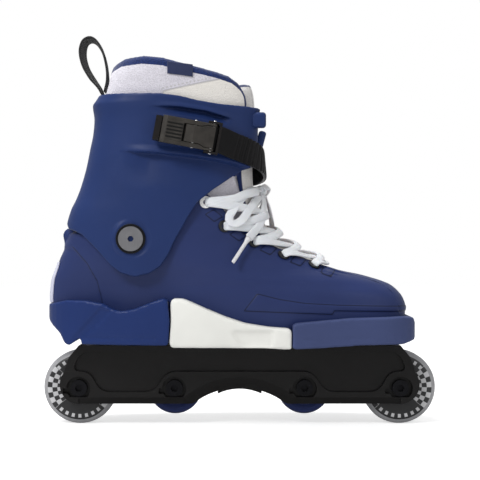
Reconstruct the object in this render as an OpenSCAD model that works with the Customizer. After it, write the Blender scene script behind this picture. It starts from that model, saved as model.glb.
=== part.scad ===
// Aggressive inline skate, right foot: boot shell, hinged cuff, liner, soul plates, frame and wheels.
// Axes: +X to the toe, +Y to the inner (medial) side of the foot, +Z up.
// Origin: on the floor under the middle of the wheelbase.

/* [Wheels] */
// Diameter of the two outer wheels
outer_wheel_d = 57; // [56:0.5:58]
// Diameter of the two inner wheels
inner_wheel_d = 42; // [38:0.5:44]
// Width of the urethane tyre
tyre_w = 23; // [21:0.5:23]
// Width of the flat band of tread
tread_flat = 11; // [6:0.5:14]
// Distance between the two outer axles
wheelbase = 248; // [246:1:250]
// Distance between the two inner axles
inner_base = 100.4; // [96:0.2:104]

/* [Frame] */
// Outer width of the frame
frame_w = 41; // [40:0.5:44]
// Inner width of the frame between its walls
frame_gap = 25; // [24.6:0.2:26]
// Height of the frame's top deck
deck_top = 61.5; // [61:0.5:62]
// Height of the frame's bottom rail above the floor
rail_bottom = 16.5; // [15:0.5:18]
// Depth of the sunk side panels
panel_depth = 3; // [1:0.5:3]
// Radius of the arch in the middle block that a grinding rail runs in
groove_r = 40; // [38:1:44]

/* [Boot] */
// Wall of the boot shell
shell_t = 4; // [3:0.5:4]
// Wall of the cuff
cuff_t = 3.6; // [3:0.2:3.8]
// Padding of the liner around the foot
liner_t = 6.6; // [5:0.2:7]
// Padding of the liner's collar
collar_t = 7.5; // [6:0.5:9]
// Largest half width of the soul plates
plate_half_w = 60; // [57:0.5:61]
// Height of the cuff pivot above the floor
pivot_z = 143.7; // [143.5:0.1:144]

/* [Buckle] */
// Width of the ladder strap
strap_w = 20; // [18:0.5:20]
// Thickness of the ladder strap
strap_t = 2.2; // [1.8:0.1:2.2]
// Angle by which the buckle dips towards the toe
buckle_dip = 10.4; // [8:0.2:12]

/* [Laces] */
// Width of the flat lace
lace_w = 7; // [6:0.5:8]
// Thickness of the flat lace
lace_t = 2; // [1.6:0.2:2.4]

/* [Hidden] */
$fn = 64;
sides = 36;
sides_inside = 28;
gap = 0.4;
pivot_x = -81.5;
axle_z = outer_wheel_d / 2;
axle_r = 4;
bearing_r = 11;
bearing_w = 7;
hub_r = 13.5;
hub_half = 11.5;
bearing_out = 11.9;
frame_half = frame_w / 2;
gap_half = frame_gap / 2;
pocket_y = frame_half - 5;
cuff_face_y = 47.2;
pivot_nut_y = 33.4;
deck_t = 6;
frame_bolt_x = 83.5;
outer_x = wheelbase / 2;
inner_x = inner_base / 2;

// Each section of a body form: height, back x, front x, half width at the heel,
// half width at the ball, roundness of the front, shift of the front to the inner side
back_roundness = 0.55;
shell_sections = [
    [70, -136, 119, 33, 47, 0.50, 4],
    [76, -141, 125, 35, 50, 0.50, 4],
    [84, -145, 128.8, 36, 51.5, 0.50, 4],
    [92, -146.8, 129.1, 36.5, 51.5, 0.50, 4],
    [98, -147.3, 127.3, 37, 51, 0.52, 3.5],
    [104, -147, 122.8, 37.5, 50, 0.55, 3],
    [108.3, -146.5, 117.5, 38, 49, 0.60, 3],
    [111.4, -146, 110, 38.5, 48.5, 0.62, 2.5],
    [113.7, -145.4, 102.5, 39, 48, 0.65, 2],
    [116.1, -144.5, 93.5, 39.5, 47.5, 0.68, 2],
    [118.5, -143.5, 81.5, 40, 47, 0.70, 1.5],
    [121, -142.5, 72, 40.5, 46.8, 0.72, 1],
    [124, -141.5, 65, 41, 46.5, 0.74, 0.5],
    [128, -140.5, 57, 41.5, 46, 0.75, 0],
    [133, -138.6, 46, 42, 45.4, 0.75, 0],
    [138, -136.5, 38, 42.3, 44.8, 0.75, 0],
    [143, -134.5, 31, 42.6, 44.2, 0.72, 0],
    [147.5, -132.5, 26.5, 42.6, 44, 0.70, 0],
    [150, -127.5, 24, 42.6, 43.6, 0.68, 0],
    [158, -126.4, 18, 42.6, 43, 0.62, 0],
    [166, -124, 15, 42.6, 42.6, 0.58, 0],
    [176, -118.5, 12, 42.4, 42.4, 0.55, 0],
    [188, -111, 10, 42, 42, 0.55, 0],
    [200, -106, 9.5, 42, 42, 0.55, 0]];

cuff_sections = [
    [112, -136, 30, 49.2, 47.6, 0.52, 0],
    [140, -135.6, 28, 49.2, 47.6, 0.52, 0],
    [151, -134.6, 25, 49.2, 47.6, 0.52, 0],
    [156, -133.8, 24, 49.2, 47.6, 0.52, 0],
    [166, -130.8, 22, 49.3, 47.6, 0.52, 0],
    [174, -126.9, 20.5, 49.4, 47.6, 0.52, 0],
    [182, -123.7, 19, 49.5, 47.6, 0.52, 0],
    [198, -119, 17, 49.6, 47.6, 0.52, 0],
    [213, -115.9, 16, 49.8, 47.6, 0.52, 0],
    [225, -113.5, 16, 50, 47.6, 0.52, 0],
    [235.5, -112.7, 16.5, 50.2, 47.6, 0.52, 0],
    [246, -113.9, 18.4, 50.4, 47.8, 0.52, 0],
    [250, -111.5, 18.8, 50.4, 47.8, 0.52, 0],
    [257, -107, 19.2, 50.4, 47.8, 0.52, 0]];

collar_sections = [
    [150, -117, 10, 37, 36, 0.52, 0],
    [188, -105, 6.5, 36.8, 35.8, 0.52, 0],
    [202, -103.6, 7.5, 36.8, 36.2, 0.52, 0],
    [208, -112, 11.4, 44.8, 42.8, 0.52, 0],
    [213, -111.4, 11.6, 45.2, 42.8, 0.52, 0],
    [235.5, -108.3, 11.8, 45.6, 42.8, 0.52, 0],
    [246, -108.8, 12, 45.8, 43, 0.52, 0],
    [252, -105.6, 11, 46, 43.2, 0.52, 0],
    [260, -102.6, 8.5, 47, 43.8, 0.52, 0],
    [270, -100, 5, 48, 44.4, 0.52, 0],
    [284, -96, 1, 47.6, 44, 0.52, 0]];

// Side outlines, as x and z
throat_edge = [[-33, 187], [-23, 176.3], [-14.3, 168.6], [-7.6, 160.5], [10.5, 148.4],
    [20.6, 141.1], [30.6, 136.3], [37.3, 135.4], [50.7, 128.3], [61.4, 123.7], [77, 119.5]];
cuff_top = [[-112, 254.3], [-85.5, 253.2], [-59.5, 252.6], [-44, 250.5], [-31.4, 247.4],
    [-14, 244.9], [6.5, 243.6], [16.4, 243.2]];
cuff_bottom = [[8, 197], [-1.3, 192.2], [-20.2, 180.2], [-31.3, 171.2], [-37.4, 162.2],
    [-49.3, 140.8], [-53.6, 131.4], [-59.6, 122.8], [-67.3, 117.7], [-78.5, 115.1],
    [-88.7, 117.7], [-97.3, 123.7], [-104.1, 131.4], [-112.3, 139.9], [-119.9, 146.8],
    [-126, 151.3], [-137, 151.7]];
collar_top = [[-110, 258], [-101, 270], [-96.5, 277.5], [-88, 280.8], [-72.5, 281.8],
    [-57.7, 280], [-36, 274.4], [-18.7, 270.6], [-7.5, 267.5], [-1, 263.5], [3.5, 256.5],
    [6.7, 248], [14, 244]];
tongue_side = [[-8, 201], [-8, 172], [4, 156], [20, 143], [40, 129], [62, 117], [90, 103],
    [98, 112], [82, 124], [60, 150], [40, 201]];

// Lowest rays of the hinging upper part and highest rays of the fixed lower part,
// as angles about the cuff pivot from the toe direction
fixed_front_angle = 32;
fixed_back_angle = 160;
moving_front_angle = 43;
moving_back_angle = 158.8;
hinge_disc_r = 22;

// Eyelet places on the outer side, as x and z, from the ankle to the toe
eyelets_at = [[-25.7, 171.3], [-11.6, 153.1], [10.5, 141.1], [33.3, 131], [56.8, 123.4]];

// Routes of the lace's free parts, as x, y, z
knot_at = [16.5, -1, 181];
near_loop_route = [[15, -6, 182.5], [9, -19, 181], [2, -30, 175], [-4, -37.5, 167],
    [-8, -41, 159.5], [-5, -42, 155], [1, -40, 157], [6, -34, 163.5], [11, -24, 171],
    [15, -12, 177]];
far_loop_route = [[18, 4, 183], [22, 11, 185], [21, 20, 182], [15, 30, 175], [8, 37.5, 167],
    [4, 41, 160], [7, 42, 155.5], [12, 38, 158], [17, 30, 165], [20, 18, 172], [19.5, 8, 177.5]];
near_end_route = [[18, -7, 177], [19, -12, 171], [18, -20, 163], [15.5, -29, 155],
    [11, -36, 149], [7, -40.5, 144.5]];
near_aglet_end = [-5, -50.5, 126];
far_end_route = [[20, 2.5, 176.5], [23, 6, 169], [25, 12, 160], [26, 20, 152], [24, 29, 146],
    [19, 37, 141]];
far_aglet_end = [8, 49, 124];

// Route of the pull loop's webbing, as x and z
loop_route = [[-107.2, 256.4], [-110, 262], [-116, 270], [-121, 279], [-123.2, 289],
    [-121.6, 297], [-117, 300.4], [-112, 297.6], [-107.3, 290], [-104.4, 279], [-103.6, 268],
    [-105.2, 258.5]];
loop_half_w = 10;
loop_t = 2.2;

// Buckle frame: u runs forward along the strap, v up across it, w out from the cuff
buckle_origin = [-38.5, -50.2, 221.9];
buckle_turn = 4;
strap_low = 2.4;
strap_top = strap_low + strap_t;
lever_pivot_u = 18;
tab_pivot_u = 4.2;
pin_w = strap_top + 2.8;
lever_end_r = 2.4;
lever_pin_r = 1.2;
tab_pin_r = 1.3;
lever_half = 10.1;
tab_half = 6.4;

// ---- Maths shared by the forms ----

function clamp01(t) = max(0, min(1, t));
function smooth01(t) = let (c = clamp01(t)) c * c * (3 - 2 * c);
function unit(v) = v / norm(v);
function arc(c, r, a0, a1, n) =
    [for (i = [0:n]) let (a = a0 + (a1 - a0) * i / n) c + r * [cos(a), sin(a)]];
function mirrored(points) = [for (i = [len(points) - 1:-1:0]) [-points[i][0], points[i][1]]];

// Section of a form at any height
function section_at(table, z) = [z, for (c = [1:6]) lookup(z, [for (s = table) [s[0], s[c]]])];

// Point of a section's outline: 0 is the heel, 90 the outer side, 180 the toe, 270 the inner side
function outline_point(s, a) =
    let (u = (1 - cos(a)) / 2,
         half = s[3] + (s[4] - s[3]) * smooth01(1.3 * u - 0.1),
         e = back_roundness + (s[5] - back_roundness) * u)
    [s[1] + (s[2] - s[1]) * u, s[6] * u * u - half * sign(sin(a)) * pow(abs(sin(a)), e), s[0]];
function outline(s, n = sides) = [for (i = [0:n - 1]) outline_point(s, 360 * i / n)];

// The same section moved in by d, rising at the sole and sinking under the instep
function inset(s, d) =
    let (rise = clamp01((92 - s[0]) / 22), sink = clamp01(min((s[0] - 92) / 19, (150 - s[0]) / 14)))
    [s[0] + d * (rise - sink), s[1] + d, s[2] - d, s[3] - d, s[4] - d, s[5], s[6]];
function inset_plain(s, d) = [s[0], s[1] + d, s[2] - d, s[3] - d, s[4] - d, s[5], s[6]];

function shell_point(a, z) = outline_point(section_at(shell_sections, z), a);
function shell_normal(a, z) =
    unit(cross(shell_point(a + 2, z) - shell_point(a - 2, z), shell_point(a, z + 2) - shell_point(a, z - 2)));
// Outline angle on the outer side at a given x and height
function shell_angle(x, z) = let (s = section_at(shell_sections, z)) acos(1 - 2 * (x - s[1]) / (s[2] - s[1]));

function cuff_point(a, z, out) =
    let (s = section_at(cuff_sections, z), p = outline_point(s, a),
         n = unit(cross(outline_point(s, a + 2) - outline_point(s, a - 2), [0, 0, 1])))
    [each p + out * n];
function cuff_normal(a, z) =
    let (s = section_at(cuff_sections, z))
        unit(cross(outline_point(s, a + 2) - outline_point(s, a - 2), [0, 0, 1]));

// The same outline with its corners rounded, each by at most r
function softened(points, r, n = 4) = let (m = len(points)) [for (i = [0:m - 1])
    let (p = points[i], a = points[(i + m - 1) % m] - p, b = points[(i + 1) % m] - p,
         from = p + unit(a) * min(r, norm(a) / 2.1), to = p + unit(b) * min(r, norm(b) / 2.1))
    each [for (k = [0:n]) let (t = k / n) (1 - t) * (1 - t) * from + 2 * t * (1 - t) * p + t * t * to]];

// Directions of the buckle's own axes
buckle_u = [cos(buckle_turn) * cos(buckle_dip), sin(buckle_turn) * cos(buckle_dip), -sin(buckle_dip)];
buckle_w = [sin(buckle_turn), -cos(buckle_turn), 0];
function buckle_point(u, w) = buckle_origin + u * buckle_u + w * buckle_w;

function tangent(path, i) = unit(path[min(i + 1, len(path) - 1)] - path[max(i - 1, 0)]);
// Ring of a flat band around a path point, turned so that its broad side faces n
function band_ring(path, i, n, half_t, half_w, round_edge) =
    let (t = tangent(path, i), nn = unit(n - (n * t) * t), b = cross(t, nn))
    round_edge
        ? [for (k = [0:7]) path[i] + nn * half_t * cos(45 * k) + b * half_w * sin(45 * k)]
        : [for (c = [[1, -1], [1, 1], [-1, 1], [-1, -1]]) path[i] + nn * half_t * c[0] + b * half_w * c[1]];

// ---- Building blocks ----

// Closed skin through rings that all have the same number of points
module skin(rings) {
    n = len(rings[0]);
    last = len(rings) - 1;
    points = [for (r = rings) each r];
    bottom = [for (i = [0:n - 1]) i];
    top = [for (i = [n - 1:-1:0]) last * n + i];
    walls = [for (k = [0:last - 1], i = [0:n - 1]) let (j = (i + 1) % n, a = k * n, b = a + n)
        each [[a + i, b + i, b + j], [a + i, b + j, a + j]]];
    polyhedron(points = points, faces = concat([bottom], walls, [top]), convexity = 8);
}

module loft(table, n = sides) { skin([for (s = table) outline(s, n)]); }
module shell_form(d) { loft([for (s = shell_sections) inset(s, d)], d > 1 ? sides_inside : sides); }
module cuff_form(d) { loft([for (s = cuff_sections) inset_plain(s, d)]); }
module collar_form(d) { loft([for (s = collar_sections) inset_plain(s, d)]); }
// Inside of the collar, whose padding is thinner where it goes down into the shell
module collar_inside() {
    loft([for (s = collar_sections) inset_plain(s, collar_t - 4.4 * clamp01((208 - s[0]) / 6))]);
}

// Keeps a freeform shape as one mesh
module one_mesh() { resize([0, 0, 0]) children(); }

// Extrudes an x-z outline from y0 to y1
module across(y0, y1) { translate([0, y1, 0]) rotate([90, 0, 0]) linear_extrude(y1 - y0) children(); }
// Extrudes a y-z outline from x0 to x1
module along_x(x0, x1) { translate([x0, 0, 0]) rotate([90, 0, 90]) linear_extrude(x1 - x0) children(); }
// Turns a solid made about +Z so that it stands about +Y
module about_y() { rotate([-90, 0, 0]) children(); }
module both_sides() {
    children();
    mirror([0, 1, 0]) children();
}

module everywhere_xz(points) { across(-80, 80) polygon(points); }

// Area swept by the fixed lower padding, and by the padding that hinges with the cuff
module fixed_region() {
    reach = 240;
    across(-80, 80) union() {
        polygon([[pivot_x, pivot_z],
            [pivot_x + reach * cos(fixed_back_angle), pivot_z + reach * sin(fixed_back_angle)],
            [-400, -100], [400, -100],
            [pivot_x + reach * cos(fixed_front_angle), pivot_z + reach * sin(fixed_front_angle)]]);
        translate([pivot_x, pivot_z]) circle(hinge_disc_r);
    }
}
module moving_region() {
    reach = 300;
    across(-80, 80) difference() {
        polygon([[pivot_x, pivot_z],
            [pivot_x + reach * cos(moving_front_angle), pivot_z + reach * sin(moving_front_angle)],
            [0, 500],
            [pivot_x + reach * cos(moving_back_angle), pivot_z + reach * sin(moving_back_angle)]]);
        translate([pivot_x, pivot_z]) circle(hinge_disc_r + gap);
    }
}

// ---- Boot shell and soul ----

module eyelet_frame(at, side) {
    a = shell_angle(at[0], at[1]);
    angle = side < 0 ? a : 360 - a;
    n = shell_normal(angle, at[1]);
    translate(shell_point(angle, at[1])) rotate([0, acos(n[2]), atan2(n[1], n[0])]) children();
}

module above_throat() {
    everywhere_xz(concat([[-160, 188]], throat_edge, [[82, 124], [82, 230], [-160, 230]]));
}

module shell() {
    color("midnightblue") one_mesh() difference() {
        union() {
            difference() {
                shell_form(0);
                shell_form(shell_t);
            }
            across(-13, 13) polygon([[-127, 149.5], [-135.5, 149.2], [-137.6, 147.6], [-136.8, 145],
                [-131, 140.5]]);
        }
        above_throat();
        for (at = eyelets_at, side = [-1, 1]) eyelet_frame(at, side)
            cylinder(h = 14, r = 2.9, center = true, $fn = 16);
        both_sides() translate([pivot_x, 30, pivot_z]) about_y() cylinder(h = 20, r = 5.1);
        for (x = [-frame_bolt_x, frame_bolt_x]) translate([x, 0, 60]) cylinder(h = 20, r = 5.5);
    }
}

module heel_strip() {
    color("gainsboro") one_mesh() intersection() {
        difference() {
            shell_form(-1);
            shell_form(-0.05);
        }
        translate([-160, -4, 99]) cube([30, 8, 27]);
    }
}

// Outer outline that the three sole pieces share, seen from above
function plate_outline(d = 0) =
    [for (p = outline([0, d - 147.9, 134.8 - d, plate_half_w - 4 - d, plate_half_w - d, 0.36, 0], 72))
        [p[0], p[1]]];

// One sole piece: its side outline, cut to the common plan outline, hollowed for the shell
// and with a shallow relief pressed into both flanks
module sole_piece(side_outline, relief, depth) {
    one_mesh() difference() {
        intersection() {
            translate([0, 0, 50]) linear_extrude(70) polygon(plate_outline());
            everywhere_xz(side_outline);
        }
        difference() {
            everywhere_xz(relief);
            translate([0, 0, 50]) linear_extrude(70) polygon(plate_outline(depth));
        }
        shell_form(-0.1);
        for (x = [-frame_bolt_x, frame_bolt_x]) translate([x, 0, 55]) cylinder(h = 20, r = 3.3, $fn = 32);
        for (at = sole_screws_at) translate([at[0], at[1], 50]) cylinder(h = 16.5, r = 4.3, $fn = 24);
    }
}

heel_plate_side = [[-150, 93], [-138, 95.5], [-132.7, 96.9], [-116, 96.9], [-102.5, 94.7],
    [-95, 90.8], [-88.9, 89.3], [-79.8, 90.8], [-66.2, 96.1], [-57, 99.3], [-53.6, 97.8],
    [-51.9, 82], [-53, 66], [-54, 64.2], [-119, 64.2], [-119.8, 69.4], [-129, 63],
    [-132.5, 64.5], [-136.5, 72], [-150, 84]];
insert_side = [[-51.6, 97], [-49.3, 99.2], [-42.3, 99.1], [-36.6, 96.9], [-23.8, 91.2],
    [-9.7, 85.5], [4.5, 80.9], [22.2, 78.1], [37.1, 77], [38.9, 75], [38.6, 61.6],
    [31.4, 61.6], [18.7, 62.6], [-50.8, 62.6], [-52.4, 65.4], [-51.2, 82]];
toe_plate_side = [[39.5, 79.2], [42, 80.9], [82.8, 84.3], [124, 84.8], [132, 84.2], [134.6, 80],
    [136, 70], [133.5, 67], [122.9, 64.2], [90.4, 64.2], [60, 62.4], [41.3, 61.6], [39.2, 62.4]];
heel_relief = [[-103.5, 93], [-128.5, 66.5], [-125, 66.2], [-117, 68.6], [-60, 68.6], [-60, 70.2],
    [-116, 70.2], [-96, 89.6]];
insert_relief = [[-7, 75.6], [5, 75.2], [26, 75.6], [25, 64], [2, 64]];
toe_relief = [[46, 67.5], [62, 68], [128, 69.5], [128, 71], [62, 69.6], [46, 69]];
sole_screws_at = [[-108, 38], [-108, -38], [-66, 40], [-66, -40], [66, 43], [66, -43], [102, 36], [102, -36]];

module heel_soul_plate() { color("midnightblue") sole_piece(heel_plate_side, heel_relief, 1.6); }
module mid_insert() { color("whitesmoke") sole_piece(insert_side, insert_relief, 2.2); }
module toe_soul_plate() { color("darkslateblue") sole_piece(toe_plate_side, toe_relief, 1); }

module soul_plate_screws() {
    color("dimgray") for (at = sole_screws_at) translate([at[0], at[1], 0]) {
        translate([0, 0, 64.6]) cylinder(h = 1.9, r = 4);
    }
}

// ---- Frame ----

// The walls' arch between the inner wheels: its radius, and its centre above the bottom rail
arch_r = 58.8;
arch_low = -46.5;
module frame_outline() {
    right = concat([[outer_x, deck_top], [outer_x + 7.5, deck_top - 9]],
        arc([outer_x - 0.5, rail_bottom + 15], 15, 40, -90, 10));
    polygon(concat(right, arc([0, rail_bottom + arch_low], arch_r, 52.25, 127.75, 16), mirrored(right)));
}

module frame_panel() {
    right = [[122, 57.3], [129.5, 41.6], [115, 41.6], [107.5, 25.8], [65.5, 25.8], [56.5, 41.6]];
    polygon(softened(concat(right, mirrored(right)), 8));
}

module frame_wall() {
    difference() {
        across(gap_half, frame_half) frame_outline();
        across(frame_half - panel_depth, frame_half + 1) frame_panel();
        for (x = axle_xs()) across(pocket_y, frame_half + 1) translate([x, axle_z]) difference() {
            union() {
                circle(9.2);
                translate([-12, -3.9]) square([6, 4]);
            }
            translate([-14, -18.7]) square([28, 12]);
        }
        along_x(-outer_x, outer_x) polygon([[frame_half + 1, rail_bottom - 1],
            [frame_half + 1, rail_bottom + 7], [frame_half - 3.4, rail_bottom - 1]]);
        translate([0, frame_half - 4.2, rail_bottom + arch_low]) about_y()
            cylinder(h = 5, r1 = arch_r - 2.6, r2 = arch_r + 10.5, $fn = 128);
    }
    for (x = axle_xs()) translate([x, bearing_out + 0.05, axle_z]) about_y()
        cylinder(h = gap_half - bearing_out, r = 5.8);
}

function axle_xs() = [-outer_x, -inner_x, inner_x, outer_x];

module frame() {
    color([0.13, 0.13, 0.13]) difference() {
        union() {
            both_sides() frame_wall();
            across(-gap_half, gap_half) polygon([[-outer_x, deck_top], [outer_x, deck_top],
                [outer_x + 5, deck_top - deck_t], [-outer_x - 5, deck_top - deck_t]]);
            for (x = [-74.5, 71.5]) translate([x, -gap_half, 32])
                cube([3, frame_gap, deck_top - deck_t - 32]);
        }
        for (x = axle_xs()) translate([x, -frame_half, axle_z]) about_y()
            cylinder(h = frame_w, r = axle_r + 0.05);
        for (x = [-outer_x, outer_x]) translate([x, -gap_half, axle_z]) about_y()
            cylinder(h = frame_gap, r = axle_z + 1.7);
        for (x = [-frame_bolt_x, frame_bolt_x]) translate([x, 0, 50]) cylinder(h = 15, r = 3.2);
        both_sides() for (x = axle_xs()) translate([x, 0, axle_z]) about_y() cylinder(h = bearing_out, r = 7);
    }
}

module groove_block() {
    color([0.11, 0.11, 0.11]) across(-gap_half + 0.1, gap_half - 0.1) polygon(concat(
        [[-17, deck_top - deck_t], [17, deck_top - deck_t]],
        arc([0, 27.3 - groove_r], groove_r, 90 - asin(17 / groove_r), 90 + asin(17 / groove_r), 12)));
}

module at_frame_bolts() { for (x = [-frame_bolt_x, frame_bolt_x]) translate([x, 0, 0]) children(); }

module frame_bolts() {
    color("silver") at_frame_bolts() difference() {
        union() {
            translate([0, 0, 49.8]) cylinder(h = 4.4, r = 5);
            translate([0, 0, 49.8]) cylinder(h = 24, r = 3);
        }
        translate([0, 0, 48]) cylinder(h = 4.5, r = 2.3, $fn = 6);
    }
}
module frame_bolt_washers() {
    color("gray") at_frame_bolts() translate([0, 0, 54.2]) difference() {
        cylinder(h = 1.3, r = 6.5);
        translate([0, 0, -1]) cylinder(h = 4, r = 3.2);
    }
}
module frame_bolt_nuts() {
    color("silver") at_frame_bolts() translate([0, 0, 70.2]) difference() {
        cylinder(h = 3.6, r = 5.2);
        translate([0, 0, -1]) cylinder(h = 6, r = 3);
    }
}

// ---- Wheels ----

// Side profile of a tyre from its seat on the hub out to the tread
module tyre(r, r_side) {
    flat = tread_flat / 2;
    edge = arc([0, 0], 1, 0, 90, 6);
    half = [for (p = edge) [r_side + (r - r_side) * p[1], flat + (tyre_w / 2 - flat) * p[0]]];
    about_y() rotate_extrude() polygon(concat([[hub_r, tyre_w / 2 - 0.8]], half,
        [for (i = [len(half) - 1:-1:0]) [half[i][0], -half[i][1]]], [[hub_r, -tyre_w / 2 + 0.8]]));
}
module hub() {
    seat = bearing_out - bearing_w;
    about_y() rotate_extrude() polygon([[bearing_r, hub_half], [hub_r, hub_half], [hub_r, -hub_half],
        [bearing_r, -hub_half], [bearing_r, -seat], [9.6, -seat], [9.6, seat], [bearing_r, seat]]);
}
// Outer rings of a wheel's two bearings with their shields
module bearing_outer_pair() {
    inner = bearing_out - bearing_w;
    both_sides() about_y() rotate_extrude() polygon([
        [bearing_r, inner], [bearing_r, bearing_out], [6.4, bearing_out], [6.4, bearing_out - 0.6],
        [9, bearing_out - 0.6], [9, inner + 0.6], [6.4, inner + 0.6], [6.4, inner]]);
}
module at_axle(x) { translate([x, 0, axle_z]) children(); }

module rear_tyre() { color("silver") at_axle(-outer_x) tyre(outer_wheel_d / 2, 22); }
module rear_hub() { color("dimgray") at_axle(-outer_x) hub(); }
module rear_bearings() { color("gray") at_axle(-outer_x) bearing_outer_pair(); }
module rear_inner_tyre() { color("navy") at_axle(-inner_x) tyre(inner_wheel_d / 2, 16.5); }
module rear_inner_hub() { color("navy") at_axle(-inner_x) hub(); }
module rear_inner_bearings() { color("gray") at_axle(-inner_x) bearing_outer_pair(); }
module front_inner_tyre() { color("navy") at_axle(inner_x) tyre(inner_wheel_d / 2, 16.5); }
module front_inner_hub() { color("navy") at_axle(inner_x) hub(); }
module front_inner_bearings() { color("gray") at_axle(inner_x) bearing_outer_pair(); }
module front_tyre() { color("silver") at_axle(outer_x) tyre(outer_wheel_d / 2, 22); }
module front_hub() { color("dimgray") at_axle(outer_x) hub(); }
module front_bearings() { color("gray") at_axle(outer_x) bearing_outer_pair(); }

// Inner rings of the bearings and the spacer tube between each pair
module bearing_inner_rings() {
    inner = bearing_out - bearing_w;
    color("lightgray") for (x = axle_xs()) at_axle(x) about_y() rotate_extrude() polygon([
        [axle_r, -bearing_out], [6, -bearing_out], [6, -inner], [5.2, -inner],
        [5.2, inner], [6, inner], [6, bearing_out], [axle_r, bearing_out]]);
}
module axle_bolts() {
    color([0.16, 0.16, 0.17]) for (x = axle_xs()) at_axle(x) difference() {
        union() {
            translate([0, -pocket_y - 3.6, 0]) about_y() cylinder(h = 3.6, r = 6.4);
            translate([0, -pocket_y, 0]) about_y() cylinder(h = pocket_y * 2 + 3.5, r = axle_r);
        }
        translate([0, -pocket_y - 4, 0]) about_y() cylinder(h = 3.4, r = 2.9, $fn = 6);
    }
}
module axle_nuts() {
    color([0.16, 0.16, 0.17]) for (x = axle_xs()) at_axle(x) translate([0, pocket_y, 0]) about_y()
        difference() {
        cylinder(h = 3.2, r = 6.4);
        translate([0, 0, -1]) cylinder(h = 6, r = axle_r);
    }
}

// ---- Liner and tongue that stay with the boot ----

module liner_boot() {
    color("whitesmoke") one_mesh() difference() {
        intersection() {
            difference() {
                shell_form(shell_t + gap);
                shell_form(shell_t + gap + liner_t);
            }
            fixed_region();
        }
        tongue_room(gap);
        both_sides() translate([pivot_x, pivot_nut_y - gap, pivot_z]) about_y()
            cylinder(h = 14, r = 8.6, $fn = 24);
        translate([-160, -80, 198.5]) cube([200, 160, 30]);
    }
}

module tongue_room(extra) { across(-30 - extra, 30 + extra) offset(delta = extra) polygon(tongue_side); }

module footbed() {
    color("lightsteelblue") translate([0, 0, 81.3]) linear_extrude(4)
        polygon([for (p = outline(inset(section_at(shell_sections, 70), shell_t + liner_t + 2 * gap), 48))
            [p[0], p[1]]]);
}

module tongue_lower() {
    color("white") one_mesh() difference() {
        intersection() {
            difference() {
                shell_form(shell_t + gap);
                shell_form(shell_t + gap + liner_t);
            }
            tongue_room(0);
            fixed_region();
        }
        translate([-160, -80, 198.5]) cube([300, 160, 30]);
    }
}

// ---- Eyelets and laces ----

module eyelet(at, side) {
    eyelet_frame(at, side) difference() {
        union() {
            translate([0, 0, 0.15]) cylinder(h = 1.2, r = 4.6, $fn = 28);
            translate([0, 0, -2.6]) cylinder(h = 3.6, r = 2.7, $fn = 24);
        }
        translate([0, 0, -4]) cylinder(h = 8, r = 1.9, $fn = 20);
    }
}
module black_eyelets() {
    color("black") for (i = [1:4], side = [-1, 1]) eyelet(eyelets_at[i], side);
}
module white_eyelets() {
    color("white") for (side = [-1, 1]) eyelet(eyelets_at[0], side);
}

// Strand of lace laid over the throat, from eyelet i on one side to eyelet j on the other
module crossing(i, j, side, lift) {
    a0 = shell_angle(eyelets_at[i][0], eyelets_at[i][1]);
    a1 = 360 - shell_angle(eyelets_at[j][0], eyelets_at[j][1]);
    steps = [0.03, 0.2, 0.5, 0.8, 0.97];
    path = [for (t = steps)
        let (a = a0 + (a1 - a0) * t, z = eyelets_at[i][1] + (eyelets_at[j][1] - eyelets_at[i][1]) * t)
        shell_point(a, z) + shell_normal(a, z)
            * (1.8 + lift * 4 * t * (1 - t) + (abs(t - 0.5) > 0.4 ? 1.6 : 0))];
    normals = [for (t = steps)
        shell_normal(a0 + (a1 - a0) * t, eyelets_at[i][1] + (eyelets_at[j][1] - eyelets_at[i][1]) * t)];
    mirror([0, side > 0 ? 1 : 0, 0])
        skin([for (k = [0:len(path) - 1]) band_ring(path, k, normals[k], lace_t / 2, lace_w / 2, true)]);
}
// Strand from a top eyelet to the knot
module top_strand(side) {
    at = eyelets_at[0];
    a0 = shell_angle(at[0], at[1]);
    steps = [0.03, 0.3, 0.6, 0.9];
    path = [for (t = steps) let (a = a0 + (180 - a0) * t, z = at[1] + (knot_at[2] - 1 - at[1]) * t)
        shell_point(a, z) + shell_normal(a, z) * (2 + (t < 0.1 ? 1.4 : 0))];
    mirror([0, side > 0 ? 1 : 0, 0]) skin([for (k = [0:len(path) - 1])
        band_ring(path, k, shell_normal(a0 + (180 - a0) * steps[k], at[1] + 8 * steps[k]), lace_t / 2,
            lace_w / 2, true)]);
}
module lacing() {
    color("white") one_mesh() difference() {
        union() {
            for (i = [0:3]) {
                crossing(i, i + 1, -1, 0.4);
                crossing(i, i + 1, 1, 2.6);
            }
            crossing(4, 4, -1, 0.4);
            top_strand(-1);
            top_strand(1);
        }
        shell_form(-0.3);
        knot_solid(0.2);
        for (at = eyelets_at, side = [-1, 1]) eyelet_frame(at, side) translate([0, 0, -2])
            cylinder(h = 3.5, r = 4.8);
        for (route = [near_loop_route, far_loop_route, near_end_route, far_end_route]) lace_sweep(route, 0.3);
        aglet_rods(0.3);
    }
}
module knot_solid(extra) {
    hull() for (p = [[0, -3, 0.5], [0, 3.2, 0], [1.5, 0, -1.5]]) translate(knot_at + p)
        sphere(r = 3.6 + extra, $fn = 16);
}
module bow_knot() { color("white") knot_solid(0); }

// Flat lace along a free route, its broad side turned away from the middle of the boot
module lace_sweep(route, extra) {
    middle = [-20, 0, 130];
    skin([for (i = [0:len(route) - 1])
        band_ring(route, i, route[i] - middle, lace_t / 2 + extra, lace_w / 2 + extra, true)]);
}
module free_lace(route) {
    one_mesh() difference() {
        lace_sweep(route, 0);
        knot_solid(0.2);
    }
}
module bow_loop_near() { color("white") free_lace(near_loop_route); }
module bow_loop_far() { color("white") free_lace(far_loop_route); }
module lace_end_near() { color("white") free_lace(near_end_route); }
module lace_end_far() { color("white") free_lace(far_end_route); }

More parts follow.
